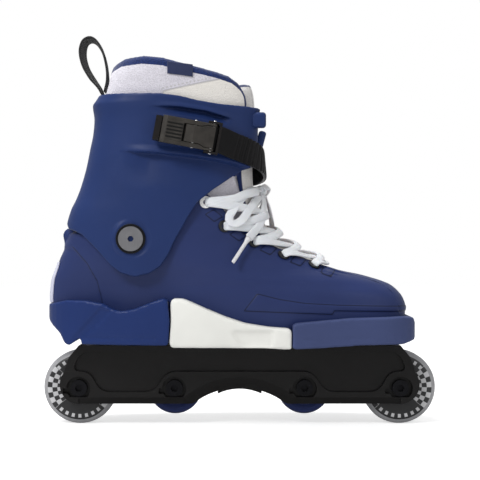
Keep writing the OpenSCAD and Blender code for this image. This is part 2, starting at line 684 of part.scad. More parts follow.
module rod(p, q, r) {
    d = q - p;
    translate(p) rotate([0, acos(d[2] / norm(d)), atan2(d[1], d[0])]) cylinder(h = norm(d), r = r, $fn = 16);
}
module aglet_rod(route, tip, extra) {
    start = route[len(route) - 1];
    rod(start + 0.4 * unit(tip - start), tip, 1.6 + extra);
}
module aglet_rods(extra) {
    aglet_rod(near_end_route, near_aglet_end, extra);
    aglet_rod(far_end_route, far_aglet_end, extra);
}
module aglets() { color("white") aglet_rods(0); }

// ---- Cuff pivot ----

module at_pivot(y) { both_sides() translate([pivot_x, y, pivot_z]) about_y() children(); }

module cuff_bolts() {
    disc = cuff_face_y + gap - pivot_nut_y;
    color("gray") at_pivot(pivot_nut_y) difference() {
        union() {
            cylinder(h = 12, r = 3);
            translate([0, 0, 2.2]) cylinder(h = disc - 2.2, r = 5);
            translate([0, 0, disc]) cylinder(h = 1.7, r = 9.3);
        }
        translate([0, 0, disc - 2]) cylinder(h = 6, r = 2.4, $fn = 6);
    }
}
module cuff_bolt_rings() {
    color("black") at_pivot(cuff_face_y + gap) difference() {
        cylinder(h = 1.2, r = 11.2);
        translate([0, 0, -1]) cylinder(h = 4, r = 9.4);
    }
}
module cuff_pivot_nuts() {
    color("silver") at_pivot(pivot_nut_y) difference() {
        cylinder(h = 2.2, r = 7.8);
        translate([0, 0, -1]) cylinder(h = 6, r = 3);
    }
}

// ---- Cuff and what hinges with it ----

module cuff_side() { polygon(concat(cuff_top, cuff_bottom)); }

module rounded_block(size, r) {
    hull() for (x = [r, size[0] - r], y = [r, size[1] - r], z = [r, size[2] - r])
        translate([x, y, z]) sphere(r = r, $fn = 12);
}

module cuff() {
    color("navy") one_mesh() difference() {
        union() {
            intersection() {
                cuff_form(0);
                across(-80, 80) cuff_side();
            }
            in_buckle_frame() translate([-24, -8.5, -6]) cube([45, 17, 6]);
            translate([9, -31, 231.2]) rounded_block([12.5, 7.5, 12], 1.5);
            translate([7.5, 24, 215]) rotate([0, 12, 0]) rounded_block([9.5, 5, 14.5], 1.4);
        }
        cuff_form(cuff_t);
        translate([-10, -17, 150]) cube([60, 34, 120]);
        at_pivot(30) cylinder(h = 30, r = 5.36, $fn = 48);
        at_pivot(cuff_face_y) cylinder(h = 10, r = 11.8, $fn = 48);
    }
}

module liner_collar() {
    color("whitesmoke") one_mesh() difference() {
        intersection() {
            difference() {
                collar_form(0);
                collar_inside();
            }
            moving_region();
            everywhere_xz(concat(collar_top, [[14, 100], [-130, 100], [-130, 256]]));
        }
        translate([-6, -27, 150]) cube([60, 54, 150]);
    }
}

module tongue_upper() {
    color("white") one_mesh() intersection() {
        difference() {
            collar_form(1.2);
            collar_form(collar_t);
        }
        moving_region();
        across(-26.5, 26.5) polygon([[-5.6, 150], [-5.6, 268.5], [4, 268], [9.5, 264], [30, 200], [30, 150]]);
    }
}

module liner_tag() {
    color("midnightblue") one_mesh() intersection() {
        difference() {
            collar_form(-0.9);
            collar_form(-0.1);
        }
        translate([-54.4, -60, 267]) rotate([0, 7, 0]) cube([19, 30, 8.6]);
    }
}

module pull_loop() {
    path = [for (p = loop_route) [p[0], 0, p[1]]];
    color("black") one_mesh() skin([for (i = [0:len(path) - 1])
        band_ring(path, i, cross(tangent(path, i), [0, 1, 0]), loop_t / 2, loop_half_w, false)]);
}

// ---- Buckle and strap ----

// Places a solid drawn with x along u, y along v and z along w
module in_buckle_frame() {
    translate(buckle_origin) rotate([0, 0, buckle_turn]) rotate([0, buckle_dip, 0]) rotate([90, 0, 0])
        children();
}
module buckle_pin_hole(u, r) {
    translate([u, 0, pin_w]) rotate([90, 0, 0]) cylinder(h = 40, r = r, center = true);
}
module buckle_pin(u, r, half) {
    translate([u, half, pin_w]) rotate([90, 0, 0]) cylinder(h = 2 * half, r = r);
}

module ladder_strap() {
    mid = strap_low + strap_t / 2;
    // Outline angle, height and distance from the cuff of the strap's middle
    run = [[133, 213.2, 3.4], [142, 210.8, 2.2], [155, 207.4, 1.7], [168, 204, 1.7], [180, 201.2, 1.8],
        [192, 198.8, 1.7], [205, 196.8, 1.7], [218, 195.4, 1.7], [232, 194.6, 1.7], [248, 194.4, 1.7]];
    path = concat([for (u = [-16, 4, 23]) buckle_point(u, mid)], [for (r = run) cuff_point(r[0], r[1],
        r[2])]);
    normals = concat([for (u = [-16, 4, 23]) buckle_w], [for (r = run) cuff_normal(r[0], r[1])]);
    color([0.13, 0.13, 0.14]) one_mesh() skin([for (i = [0:len(path) - 1])
        band_ring(path, i, normals[i], strap_t / 2, strap_w / 2, false)]);
}

module strap_bolt() {
    p = cuff_point(244, 194.4, 2.9);
    n = cuff_normal(244, 194.4);
    color("dimgray") translate(p) rotate([0, acos(n[2]), atan2(n[1], n[0])]) cylinder(h = 1.6, r = 4.5);
}

module buckle_base() {
    color([0.12, 0.11, 0.11]) in_buckle_frame() difference() {
        union() {
            translate([-25, -9.5, 0.1]) cube([46.6, 19, 1.9]);
            translate([-25.5, -9.2, 0.1]) cube([4.6, 18.4, 7.6]);
            for (s = [-1, 1]) {
                translate([13.5, s > 0 ? 10.5 : -12, 0.1]) cube([10.5, 1.5, pin_w + 1.6]);
                translate([13.5, s > 0 ? 9 : -12, 0.1]) cube([8, 3, 1.9]);
            }
            translate([22.2, -12, strap_top + 0.6]) cube([1.8, 24, 3.3]);
        }
        buckle_pin_hole(lever_pivot_u, lever_pin_r);
    }
}

module lever_pin() { color("silver") in_buckle_frame() buckle_pin(lever_pivot_u, lever_pin_r, 12.6); }
module tab_pin() { color("silver") in_buckle_frame() buckle_pin(tab_pivot_u, tab_pin_r, 10.4); }

lever_low = strap_top + 0.4;
lever_high = pin_w + 2;

// Plan of the release tab from u0 to u1, widening towards the strap, grown by extra
module tab_plan(u0, u1, extra) {
    w0 = tab_half + extra;
    w1 = tab_half + 1.6 + extra;
    polygon([[u0, -w0], [9, -w0], [13, -w1], [u1, -w1], [u1, w1], [13, w1], [9, w0], [u0, w0]]);
}

module buckle_lever() {
    tip = arc([lever_pivot_u, pin_w], lever_end_r, -90, 90, 8);
    color([0.12, 0.11, 0.11]) in_buckle_frame() difference() {
        union() {
            across(-lever_half, lever_half) polygon(concat(
                [[-20.2, lever_low + 0.6], [-19.4, lever_low]], tip,
                [[8, lever_high], [-17, lever_high + 0.2], [-20.2, lever_high - 1.6]]));
            for (k = [-2.5:1:2.5]) translate([-16.5, 2.6 * k - 0.6, lever_high]) cube([12, 1.2, 0.6]);
        }
        linear_extrude(20) tab_plan(-4.2, 30, gap);
        translate([-21, -tab_half - 2, lever_high - 1.6]) rotate([0, -35, 0]) cube([3, 2 * tab_half + 4, 3]);
        buckle_pin_hole(lever_pivot_u, lever_pin_r + 0.06);
        buckle_pin_hole(tab_pivot_u, tab_pin_r);
    }
}

module release_tab() {
    color([0.15, 0.14, 0.14]) in_buckle_frame() difference() {
        intersection() {
            across(-12, 12) polygon([
                [-3, pin_w - 0.2], [-2, pin_w - 1], [2.2, pin_w - 1.6], [6.5, pin_w - 1.8],
                [14, pin_w - 0.7], [19.6, pin_w + 0.6], [19.6, lever_high - 0.2], [14, lever_high + 0.1],
                [4, lever_high + 0.9], [-2.2, lever_high - 0.3]]);
            linear_extrude(20) tab_plan(-4, 20, 0);
        }
        translate([tab_pivot_u - 3.2, -2.3, 0]) cube([6.4, 4.6, pin_w + 2.1]);
        buckle_pin_hole(tab_pivot_u, tab_pin_r + 0.06);
        buckle_pin_hole(lever_pivot_u, lever_pin_r + 0.65);
    }
}

module tab_spring() {
    color("silver") in_buckle_frame() for (v = [-1.2, 0, 1.2]) translate([tab_pivot_u, v, pin_w])
        rotate([90, 0, 0]) rotate_extrude() translate([1.6, 0]) circle(r = 0.2, $fn = 16);
}

shell();
heel_strip();
heel_soul_plate();
mid_insert();
toe_soul_plate();
soul_plate_screws();
frame();
groove_block();
frame_bolts();
frame_bolt_washers();
frame_bolt_nuts();
liner_boot();
footbed();
tongue_lower();
black_eyelets();
white_eyelets();
lacing();
bow_knot();
bow_loop_near();
bow_loop_far();
lace_end_near();
lace_end_far();
aglets();
cuff_bolts();
cuff_bolt_rings();
cuff_pivot_nuts();
cuff();
liner_collar();
tongue_upper();
liner_tag();
pull_loop();
ladder_strap();
strap_bolt();
buckle_base();
lever_pin();
buckle_lever();
tab_pin();
tab_spring();
release_tab();
axle_bolts();
axle_nuts();
bearing_inner_rings();
rear_tyre();
rear_hub();
rear_bearings();
rear_inner_tyre();
rear_inner_hub();
rear_inner_bearings();
front_inner_tyre();
front_inner_hub();
front_inner_bearings();
front_tyre();
front_hub();
front_bearings();
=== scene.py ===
import math

import bmesh
import bpy
import numpy as np
from mathutils import Euler, Matrix, Vector


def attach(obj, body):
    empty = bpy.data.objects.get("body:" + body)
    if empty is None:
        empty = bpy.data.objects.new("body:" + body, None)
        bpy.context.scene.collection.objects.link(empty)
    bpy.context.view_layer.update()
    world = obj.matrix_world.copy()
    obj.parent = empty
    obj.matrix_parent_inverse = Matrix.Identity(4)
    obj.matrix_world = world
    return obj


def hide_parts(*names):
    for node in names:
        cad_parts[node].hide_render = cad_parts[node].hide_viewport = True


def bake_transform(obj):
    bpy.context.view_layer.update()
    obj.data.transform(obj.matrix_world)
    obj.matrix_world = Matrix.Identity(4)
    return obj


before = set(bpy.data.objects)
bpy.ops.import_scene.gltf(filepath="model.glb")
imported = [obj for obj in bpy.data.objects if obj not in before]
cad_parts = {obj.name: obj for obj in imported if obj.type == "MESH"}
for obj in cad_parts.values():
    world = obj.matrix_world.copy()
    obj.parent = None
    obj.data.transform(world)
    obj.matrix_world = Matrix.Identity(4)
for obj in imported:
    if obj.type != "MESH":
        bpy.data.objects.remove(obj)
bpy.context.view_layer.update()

MM = 0.001

# ---------------- camera, and a maker of area lights


def make_camera():
    data = bpy.data.cameras.new("camera")
    data.lens = 95.5
    data.sensor_width = 36
    camera = bpy.data.objects.new("camera", data)
    camera.location = (0.0003, -1.0, 0.1428)
    camera.rotation_euler = (math.radians(90), 0, 0)
    bpy.context.collection.objects.link(camera)
    bpy.context.scene.camera = camera


def area_light(name, place, aim, size, power):
    data = bpy.data.lights.new(name, "AREA")
    data.shape = "RECTANGLE"
    data.size = size[0]
    data.size_y = size[1]
    data.energy = power
    light = bpy.data.objects.new(name, data)
    light.location = place
    light.rotation_euler = (Vector(aim) - Vector(place)).to_track_quat("-Z", "Y").to_euler()
    bpy.context.collection.objects.link(light)


make_camera()
bpy.context.scene.view_settings.view_transform = "Standard"

# ---------------- curves and forms


def smooth01(t):
    c = np.clip(t, 0, 1)
    return c * c * (3 - 2 * c)


def monotone(xs, ys):
    """Smooth curve through points that doesn't overshoot between them."""
    xs = np.asarray(xs, float)
    ys = np.asarray(ys, float)
    step = np.diff(xs)
    slope = np.diff(ys) / step
    rise = np.zeros(len(xs))
    same = slope[:-1] * slope[1:] > 0
    rise[1:-1][same] = 2 * (slope[:-1] * slope[1:])[same] / (slope[:-1] + slope[1:])[same]
    rise[0] = slope[0]
    rise[-1] = slope[-1]

    def curve(x):
        x = np.clip(x, xs[0], xs[-1])
        i = np.clip(np.searchsorted(xs, x, side="right") - 1, 0, len(xs) - 2)
        t = (x - xs[i]) / step[i]
        a = (1 + 2 * t) * (1 - t) ** 2 * ys[i] + t * (1 - t) ** 2 * step[i] * rise[i]
        b = t * t * (3 - 2 * t) * ys[i + 1] + t * t * (t - 1) * step[i] * rise[i + 1]
        return a + b

    return curve


def unit(v):
    return v / np.maximum(np.linalg.norm(v, axis=-1, keepdims=True), 1e-9)


class Form:
    """A body with rounded level sections. Angle 0 is the heel, 90 the outer side, 180 the toe."""

    def __init__(self, sections):
        table = np.array(sections, float)
        self.curves = [monotone(table[:, 0], table[:, c]) for c in range(1, 7)]

    def skin(self, a, z):
        back, front, heel, ball, roundness, shift = [c(z) for c in self.curves]
        s = np.sin(np.radians(a))
        u = (1 - np.cos(np.radians(a))) / 2
        half = heel + (ball - heel) * smooth01(1.3 * u - 0.1)
        e = 0.55 + (roundness - 0.55) * u
        y = shift * u * u - half * np.sign(s) * np.abs(s) ** e
        return np.stack(np.broadcast_arrays(back + (front - back) * u, y, z), axis=-1)

    def normal(self, a, z):
        round_it = self.skin(a + 1.5, z) - self.skin(a - 1.5, z)
        up_it = self.skin(a, z + 1.5) - self.skin(a, z - 1.5)
        return unit(np.cross(round_it, up_it))

    def point(self, a, z, out=0.0):
        a, z, out = np.broadcast_arrays(np.asarray(a, float), np.asarray(z, float), np.asarray(out, float))
        return self.skin(a, z) + out[..., None] * self.normal(a, z)

    def angle(self, x, z):
        """Angle on the outer side where the section at height z reaches x."""
        back, front = self.curves[0](z), self.curves[1](z)
        return np.degrees(np.arccos(np.clip(1 - 2 * (x - back) / (front - back), -1, 1)))

    def even_angles(self, z, count, first, last):
        """Angles spaced evenly along the section's outline."""
        fine = np.linspace(first, last, 4001)
        run = np.linalg.norm(np.diff(self.skin(fine, np.full(4001, float(z))), axis=0), axis=1)
        length = np.concatenate([[0], np.cumsum(run)])
        return np.interp(np.linspace(0, length[-1], count), length, fine)


SHELL = Form([
    [70, -136, 119, 33, 47, 0.50, 4],
    [76, -141, 125, 35, 50, 0.50, 4],
    [84, -145, 128.8, 36, 51.5, 0.50, 4],
    [92, -146.8, 129.1, 36.5, 51.5, 0.50, 4],
    [98, -147.3, 127.3, 37, 51, 0.52, 3.5],
    [104, -147, 122.8, 37.5, 50, 0.55, 3],
    [108.3, -146.5, 117.5, 38, 49, 0.60, 3],
    [111.4, -146, 110, 38.5, 48.5, 0.62, 2.5],
    [113.7, -145.4, 102.5, 39, 48, 0.65, 2],
    [116.1, -144.5, 93.5, 39.5, 47.5, 0.68, 2],
    [118.5, -143.5, 81.5, 40, 47, 0.70, 1.5],
    [121, -142.5, 72, 40.5, 46.8, 0.72, 1],
    [124, -141.5, 65, 41, 46.5, 0.74, 0.5],
    [128, -140.5, 57, 41.5, 46, 0.75, 0],
    [133, -138.6, 46, 42, 45.4, 0.75, 0],
    [138, -136.5, 38, 42.3, 44.8, 0.75, 0],
    [143, -134.5, 31, 42.6, 44.2, 0.72, 0],
    [147.5, -132.5, 26.5, 42.6, 44, 0.70, 0],
    [150, -127.5, 24, 42.6, 43.6, 0.68, 0],
    [158, -126.4, 18, 42.6, 43, 0.62, 0],
    [166, -124, 15, 42.6, 42.6, 0.58, 0],
    [176, -118.5, 12, 42.4, 42.4, 0.55, 0],
    [188, -111, 10, 42, 42, 0.55, 0],
    [204, -105, 9.5, 41.6, 41.8, 0.55, 0],
])

CUFF = Form([
    [112, -136, 30, 49.2, 47.6, 0.52, 0],
    [140, -135.6, 28, 49.2, 47.6, 0.52, 0],
    [151, -134.6, 25, 49.2, 47.6, 0.52, 0],
    [156, -133.8, 24, 49.2, 47.6, 0.52, 0],
    [166, -130.8, 22, 49.3, 47.6, 0.52, 0],
    [174, -126.9, 20.5, 49.4, 47.6, 0.52, 0],
    [182, -123.7, 19, 49.5, 47.6, 0.52, 0],
    [198, -119, 17, 49.6, 47.6, 0.52, 0],
    [213, -115.9, 16, 49.8, 47.6, 0.52, 0],
    [225, -113.5, 16, 50, 47.6, 0.52, 0],
    [235.5, -112.7, 16.5, 50.2, 47.6, 0.52, 0],
    [246, -113.9, 18.4, 50.4, 47.8, 0.52, 0],
    [250, -111.5, 18.8, 50.4, 47.8, 0.52, 0],
    [257, -107, 19.2, 50.4, 47.8, 0.52, 0],
])

COLLAR = Form([
    [186, -106, 7, 36.5, 36.5, 0.52, 0],
    [200, -107, 9, 40, 40, 0.52, 0],
    [213, -111.4, 11.6, 45.2, 42.8, 0.52, 0],
    [235.5, -108.3, 11.8, 44.4, 41.8, 0.52, 0],
    [246, -108.8, 12, 45.8, 43, 0.52, 0],
    [252, -105.6, 11, 46, 43.2, 0.52, 0],
    [260, -102.6, 8.5, 47, 43.8, 0.52, 0],
    [270, -100, 5, 48, 44.4, 0.52, 0],
    [284, -96, 1, 47.6, 44, 0.52, 0],
])

THROAT_EDGE = [(-33, 187), (-23, 176.3), (-14.3, 168.6), (-7.6, 160.5), (10.5, 148.4), (20.6, 141.1),
               (30.6, 136.3), (37.3, 135.4), (50.7, 128.3), (61.4, 123.7), (77, 119.5)]
CUFF_TOP = [(-112, 254.3), (-85.5, 253.2), (-59.5, 252.6), (-44, 250.5), (-31.4, 247.4), (-14, 244.9),
            (6.5, 243.6), (16.4, 243.2)]
CUFF_BOTTOM = [(-137, 157.8), (-134.2, 155.8), (-132.4, 152.6), (-131, 150.8), (-126, 149.4),
               (-119.9, 146.8), (-112.3, 139.9), (-104.1, 131.4),
               (-97.3, 123.7), (-88.7, 117.7), (-78.5, 115.1), (-67.3, 117.7), (-59.6, 122.8),
               (-53.6, 131.4), (-49.3, 140.8), (-37.4, 162.2), (-31.3, 171.2), (-20.2, 180.2),
               (-1.3, 192.2), (7, 196.4), (10.5, 202), (13.6, 214), (16.4, 243.2)]
COLLAR_TOP = [(-110, 258), (-101, 270), (-96.5, 277.5), (-88, 280.8), (-72.5, 281.8), (-57.7, 280),
              (-36, 274.4), (-18.7, 270.6), (-7.5, 267.5), (-1, 263.5), (3.5, 256.5), (6.7, 248), (14, 244)]
EYELETS = [(-25.7, 171.3), (-11.6, 153.1), (10.5, 141.1), (33.3, 131), (56.8, 123.4)]
PIVOT = (-81.5, 143.7)


def height_on(line, x):
    xs, zs = zip(*line)
    return np.interp(x, xs, zs)


def meet(form, angles, line, z0, z1):
    """Height at which each column of a form first rises above a line given as x and z."""
    zs = np.arange(z0, z1, 0.25)
    a, z = np.meshgrid(angles, zs)
    above = z >= height_on(line, form.skin(a, z)[..., 0])
    first = np.where(above.any(axis=0), above.argmax(axis=0), len(zs) - 1)
    return zs[first]


def distance_to(line, x, z):
    """Signed distance to a line of x and z points, positive above it, and the run along it."""
    best = np.full(np.shape(x), 1e9)
    side = np.zeros(np.shape(x))
    run_at = np.zeros(np.shape(x))
    run = 0.0
    for (x0, z0), (x1, z1) in zip(line[:-1], line[1:]):
        dx, dz = x1 - x0, z1 - z0
        length = math.hypot(dx, dz)
        t = np.clip(((x - x0) * dx + (z - z0) * dz) / length ** 2, 0, 1)
        d = np.hypot(x - x0 - t * dx, z - z0 - t * dz)
        closer = d < best
        best = np.where(closer, d, best)
        side = np.where(closer, np.sign(dx * (z - z0) - dz * (x - x0)), side)
        run_at = np.where(closer, run + t * length, run_at)
        run += length
    return best * side, run_at


def spline(points, count):
    """Evenly spaced points on a smooth curve through the given ones."""
    p = np.array(points, float)
    ends = np.vstack([2 * p[0] - p[1], p, 2 * p[-1] - p[-2]])
    fine = []
    for i in range(len(p) - 1):
        a, b, c, d = ends[i:i + 4]
        for t in np.linspace(0, 1, 24, endpoint=False):
            fine.append(0.5 * (2 * b + (c - a) * t + (2 * a - 5 * b + 4 * c - d) * t ** 2
                               + (3 * b - 3 * c + d - a) * t ** 3))
    fine = np.array(fine + [p[-1]])
    length = np.concatenate([[0], np.cumsum(np.linalg.norm(np.diff(fine[:, :3], axis=0), axis=1))])
    at = np.linspace(0, length[-1], count)
    return np.stack([np.interp(at, length, fine[:, k]) for k in range(p.shape[1])], axis=1)


# ---------------- meshes


def new_object(name, points_mm, faces, uvs=None, layers=None):
    """Object from points in millimetres. Its rest position and the given layers become attributes."""
    mesh = bpy.data.meshes.new(name)
    points = np.asarray(points_mm) * MM
    mesh.from_pydata(points.tolist(), [], faces)
    layers = dict(layers or {})
    for key, values in layers.items():
        held = mesh.attributes.new(key, "FLOAT", "POINT")
        held.data.foreach_set("value", np.asarray(values, np.float32).ravel())
    rest = mesh.attributes.new("rest", "FLOAT_VECTOR", "POINT")
    rest.data.foreach_set("vector", points.astype(np.float32).ravel())
    if uvs is not None:
        layer = mesh.uv_layers.new(name="UVMap")
        index = np.zeros(len(mesh.loops), dtype=np.int32)
        mesh.loops.foreach_get("vertex_index", index)
        layer.data.foreach_set("uv", (np.asarray(uvs) * MM)[index].astype(np.float32).ravel())
    work = bmesh.new()
    work.from_mesh(mesh)
    bmesh.ops.remove_doubles(work, verts=work.verts, dist=1e-6)
    bmesh.ops.dissolve_degenerate(work, edges=work.edges, dist=1e-7)
    bmesh.ops.recalc_face_normals(work, faces=work.faces)
    work.to_mesh(mesh)
    work.free()
    mesh.shade_smooth()
    piece = bpy.data.objects.new(name, mesh)
    bpy.context.collection.objects.link(piece)
    return piece


def rim_steps(count, length, r):
    """Steps from 0 to 1 with extra ones within r of both ends, for a rounded rim."""
    near = np.array([0, 0.08, 0.3, 0.62, 1.0]) * r / length
    return np.concatenate([near, np.linspace(near[-1], 1 - near[-1], count)[1:-1], (1 - near)[::-1]])


def rows_between(angles, low, high, steps):
    """Grids of angle and height, with rows spread from one line of heights to another."""
    a_grid, t_grid = np.meshgrid(angles, steps)
    return a_grid, low + (high - low) * t_grid


def border_distance(grid, wrap):
    def from_ends(axis):
        run = np.cumsum(np.linalg.norm(np.diff(grid, axis=axis), axis=-1), axis=axis)
        pad = [(0, 0), (0, 0)]
        pad[axis] = (1, 0)
        run = np.pad(run, pad)
        total = run[-1:] if axis == 0 else run[:, -1:]
        return np.minimum(run, total - run)

    rows = from_ends(0)
    return rows if wrap else np.minimum(rows, from_ends(1))


def slab(name, mid, normal, half, edge=None, wrap=False, layers=None):
    """Closed sheet with rounded rims, half thick on each side of a grid of points."""
    rows, cols = mid.shape[:2]
    half = np.broadcast_to(half, (rows, cols))
    r = half if edge is None else np.broadcast_to(edge, (rows, cols))
    d = np.minimum(border_distance(mid, wrap), r)
    lift = (half - r + np.sqrt(np.maximum(r ** 2 - (r - d) ** 2, 0)))[..., None]
    points = np.concatenate([(mid + normal * lift).reshape(-1, 3), (mid - normal * lift).reshape(-1, 3)])
    n = rows * cols
    faces = []
    last = cols if wrap else cols - 1
    for i in range(rows - 1):
        for j in range(last):
            k = (j + 1) % cols
            a, b, c, e = i * cols + j, i * cols + k, (i + 1) * cols + k, (i + 1) * cols + j
            faces.append((a, b, c, e))
            faces.append((n + e, n + c, n + b, n + a))
    for i in (0, rows - 1):
        for j in range(last):
            a, b = i * cols + j, i * cols + (j + 1) % cols
            faces.append((a, b, n + b, n + a))
    if not wrap:
        for j in (0, cols - 1):
            for i in range(rows - 1):
                a, b = i * cols + j, (i + 1) * cols + j
                faces.append((a, b, n + b, n + a))
    both = {key: np.concatenate([np.ravel(v[0]), np.ravel(v[1])]) for key, v in (layers or {}).items()}
    return new_object(name, points, faces, layers=both)


def band(name, path, normals, half_w, half_t, power=2.6, sides=14, top=None):
    """Flat strip swept along a path, its broad side facing the normals, with rounded long edges."""
    path = np.asarray(path, float)
    count = len(path)
    half_w = np.broadcast_to(half_w, count)
    half_t = np.broadcast_to(half_t, count)
    tangent = unit(np.gradient(path, axis=0))
    n = unit(normals - np.sum(normals * tangent, axis=1, keepdims=True) * tangent)
    across = np.cross(tangent, n)
    run = np.concatenate([[0], np.cumsum(np.linalg.norm(np.diff(path, axis=0), axis=1))])
    points, uvs, faces = [], [], []
    for i in range(count):
        for k in range(sides):
            angle = 2 * math.pi * k / sides
            c, s = math.cos(angle), math.sin(angle)
            w = half_w[i] * math.copysign(abs(s) ** (2 / power), s)
            t = half_t[i] * math.copysign(abs(c) ** (2 / power), c)
            if top is not None and c > 0.2:
                t += top[i]
            points.append(path[i] + n[i] * t + across[i] * w)
            uvs.append((w, run[i]))
    for i in range(count - 1):
        for k in range(sides):
            m = (k + 1) % sides
            faces.append((i * sides + k, i * sides + m, (i + 1) * sides + m, (i + 1) * sides + k))
    faces.append(tuple(range(sides)))
    faces.append(tuple((count - 1) * sides + k for k in reversed(range(sides))))
    return new_object(name, points, faces, uvs=uvs)


def rounded_box(name, low, high, r, place):
    """Box with rounded edges, in millimetres, put where the matrix says."""
    work = bmesh.new()
    bmesh.ops.create_cube(work, size=1)
    low, high = Vector(low), Vector(high)
    for v in work.verts:
        v.co = low + Vector([(high[k] - low[k]) * (v.co[k] + 0.5) for k in range(3)])
    bmesh.ops.bevel(work, geom=work.edges[:], offset=r, segments=4, profile=0.5, affect="EDGES")
    bmesh.ops.transform(work, matrix=Matrix.Scale(MM, 4) @ place, verts=work.verts)
    mesh = bpy.data.meshes.new(name)
    work.to_mesh(mesh)
    work.free()
    mesh.shade_smooth()
    piece = bpy.data.objects.new(name, mesh)
    bpy.context.collection.objects.link(piece)
    return piece


# ---------------- materials


def use(piece, material, slot, body, *nodes):
    piece.data.materials.append(material)
    if nodes:
        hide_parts(*nodes)
    if body:
        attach(piece, body)
    return piece

def srgb(r, g, b):
    """Linear colour of a 0-255 display colour."""
    return tuple((c / 12.92 if c <= 0.04045 else ((c + 0.055) / 1.055) ** 2.4)
                 for c in (r / 255, g / 255, b / 255))


def shade(colour, factor):
    return tuple(c * factor for c in colour)


class Look:
    """A material with one Principled shader and procedural inputs."""

    def __init__(self, name, **sockets):
        self.material = bpy.data.materials.new(name)
        self.material.use_nodes = True
        self.tree = self.material.node_tree
        self.shader = self.tree.nodes["Principled BSDF"]
        for key, value in sockets.items():
            self.shader.inputs[key.replace("_", " ")].default_value = value

    def node(self, kind, inputs, **settings):
        made = self.tree.nodes.new(kind)
        for key, value in settings.items():
            setattr(made, key, value)
        for key, value in inputs.items():
            if isinstance(value, bpy.types.NodeSocket):
                self.tree.links.new(value, made.inputs[key])
            else:
                made.inputs[key].default_value = value
        return made

    def object_place(self):
        return self.node("ShaderNodeTexCoord", {}).outputs["Object"]

    def rest_place(self):
        return self.node("ShaderNodeAttribute", {}, attribute_name="rest").outputs["Vector"]

    def uv_place(self):
        return self.node("ShaderNodeTexCoord", {}).outputs["UV"]

    def layer(self, name):
        return self.node("ShaderNodeAttribute", {}, attribute_name=name).outputs["Fac"]

    def noise(self, place, scale, detail=2.0):
        inputs = {"Vector": place, "Scale": scale, "Detail": detail}
        return self.node("ShaderNodeTexNoise", inputs).outputs["Fac"]

    def cells(self, place, scale):
        return self.node("ShaderNodeTexVoronoi", {"Vector": place, "Scale": scale}).outputs["Distance"]

    def stretched(self, place, factors):
        made = self.node("ShaderNodeVectorMath", {0: place, 1: factors}, operation="MULTIPLY")
        return made.outputs["Vector"]

    def dot(self, place, axis):
        made = self.node("ShaderNodeVectorMath", {0: place, 1: tuple(axis)}, operation="DOT_PRODUCT")
        return made.outputs["Value"]

    def maths(self, operation, a, b=0.0):
        return self.node("ShaderNodeMath", {0: a, 1: b}, operation=operation).outputs["Value"]

    def ramp(self, value, low, high, out_low=0.0, out_high=1.0):
        ends = {"Value": value, "From Min": low, "From Max": high, "To Min": out_low, "To Max": out_high}
        return self.node("ShaderNodeMapRange", ends).outputs["Result"]

    def mix(self, factor, a, b):
        wide = [(*v, 1) if isinstance(v, tuple) and len(v) == 3 else v for v in (a, b)]
        return self.node("ShaderNodeMix", {0: factor, 6: wide[0], 7: wide[1]}, data_type="RGBA").outputs[2]

    def times(self, a, b):
        return self.maths("MULTIPLY", a, b)

    def size(self, a):
        return self.maths("ABSOLUTE", a)

    def colour(self, socket):
        self.tree.links.new(socket, self.shader.inputs["Base Color"])

    def roughness(self, socket):
        self.tree.links.new(socket, self.shader.inputs["Roughness"])

    def speckle(self, place, scale, detail, low, high):
        """Roughness that varies in spots between two values."""
        self.roughness(self.ramp(self.noise(place, scale, detail), 0.3, 0.7, low, high))

    def bump(self, height, strength, distance):
        made = self.node("ShaderNodeBump", {"Height": height, "Strength": strength, "Distance": distance})
        self.tree.links.new(made.outputs["Normal"], self.shader.inputs["Normal"])


def plastic(name, colour, rough=0.42, grain=1800.0, depth=0.12, scuff=0.25, wear=1.35, lines=False,
            gloss=0.14):
    """Moulded plastic: fine grain, colour drift, long faint scuffs, and painted shade along the mesh's panel
    lines if any.
    """
    look = Look(name, Specular_IOR_Level=gloss)
    place = look.object_place()
    drift = look.ramp(look.noise(place, 18, 3), 0.3, 0.7)
    base = look.mix(drift, shade(colour, 0.93), shade(colour, 1.08))
    streak = look.noise(look.stretched(place, (60, 60, 900)), 1.0, 4)
    marks = look.ramp(streak, 0.66, 0.8, 0, scuff)
    tone = look.mix(marks, base, tuple(min(1, c * wear + 0.01) for c in colour))
    look.speckle(place, 260, 4, rough - 0.05, rough + 0.08)
    height = look.noise(place, grain, 3)
    if lines:
        groove = look.ramp(look.size(look.layer("line")), 0.15, 0.55)
        height = look.maths("ADD", height, look.times(groove, 4.0))
        # painted shade: the colour darkens to a third along the panel lines
        tone = look.mix(groove, shade(colour, 0.3), tone)
    look.colour(tone)
    look.bump(height, depth, 0.0002)
    return look.material


RIB_PITCH = 0.0026


def ribbed_lever(name, colour, origin, along, out):
    """Worn black plastic, with painted shade in the grooves between finger ribs set out in the buckle's own
    axes.
    """
    look = Look(name, Specular_IOR_Level=0.25)
    place = look.object_place()

    def measure(axis):
        return look.maths("SUBTRACT", look.dot(place, axis), float(np.dot(origin, axis)))

    u, w, v = measure(along), measure(out), measure(np.cross(along, out))
    wave = look.ramp(look.maths("COSINE", look.times(v, 2 * math.pi / RIB_PITCH)), -0.1, 0.35)
    inside = look.times(look.ramp(look.size(v), 0.0067, 0.0064), look.ramp(w, 0.0055, 0.006))
    length = look.times(look.ramp(u, -0.0168, -0.0162), look.ramp(u, -0.0044, -0.005))
    groove = look.times(wave, look.times(inside, length))
    wear = look.mix(look.ramp(look.noise(place, 160, 4), 0.35, 0.7), shade(colour, 0.8), shade(colour, 1.3))
    # painted shade: near black in the grooves between the ribs
    look.colour(look.mix(groove, wear, (0.004, 0.004, 0.004)))
    look.speckle(place, 400, 3, 0.3, 0.45)
    look.bump(look.noise(place, 1300, 3), 0.12, 0.0002)
    return look.material


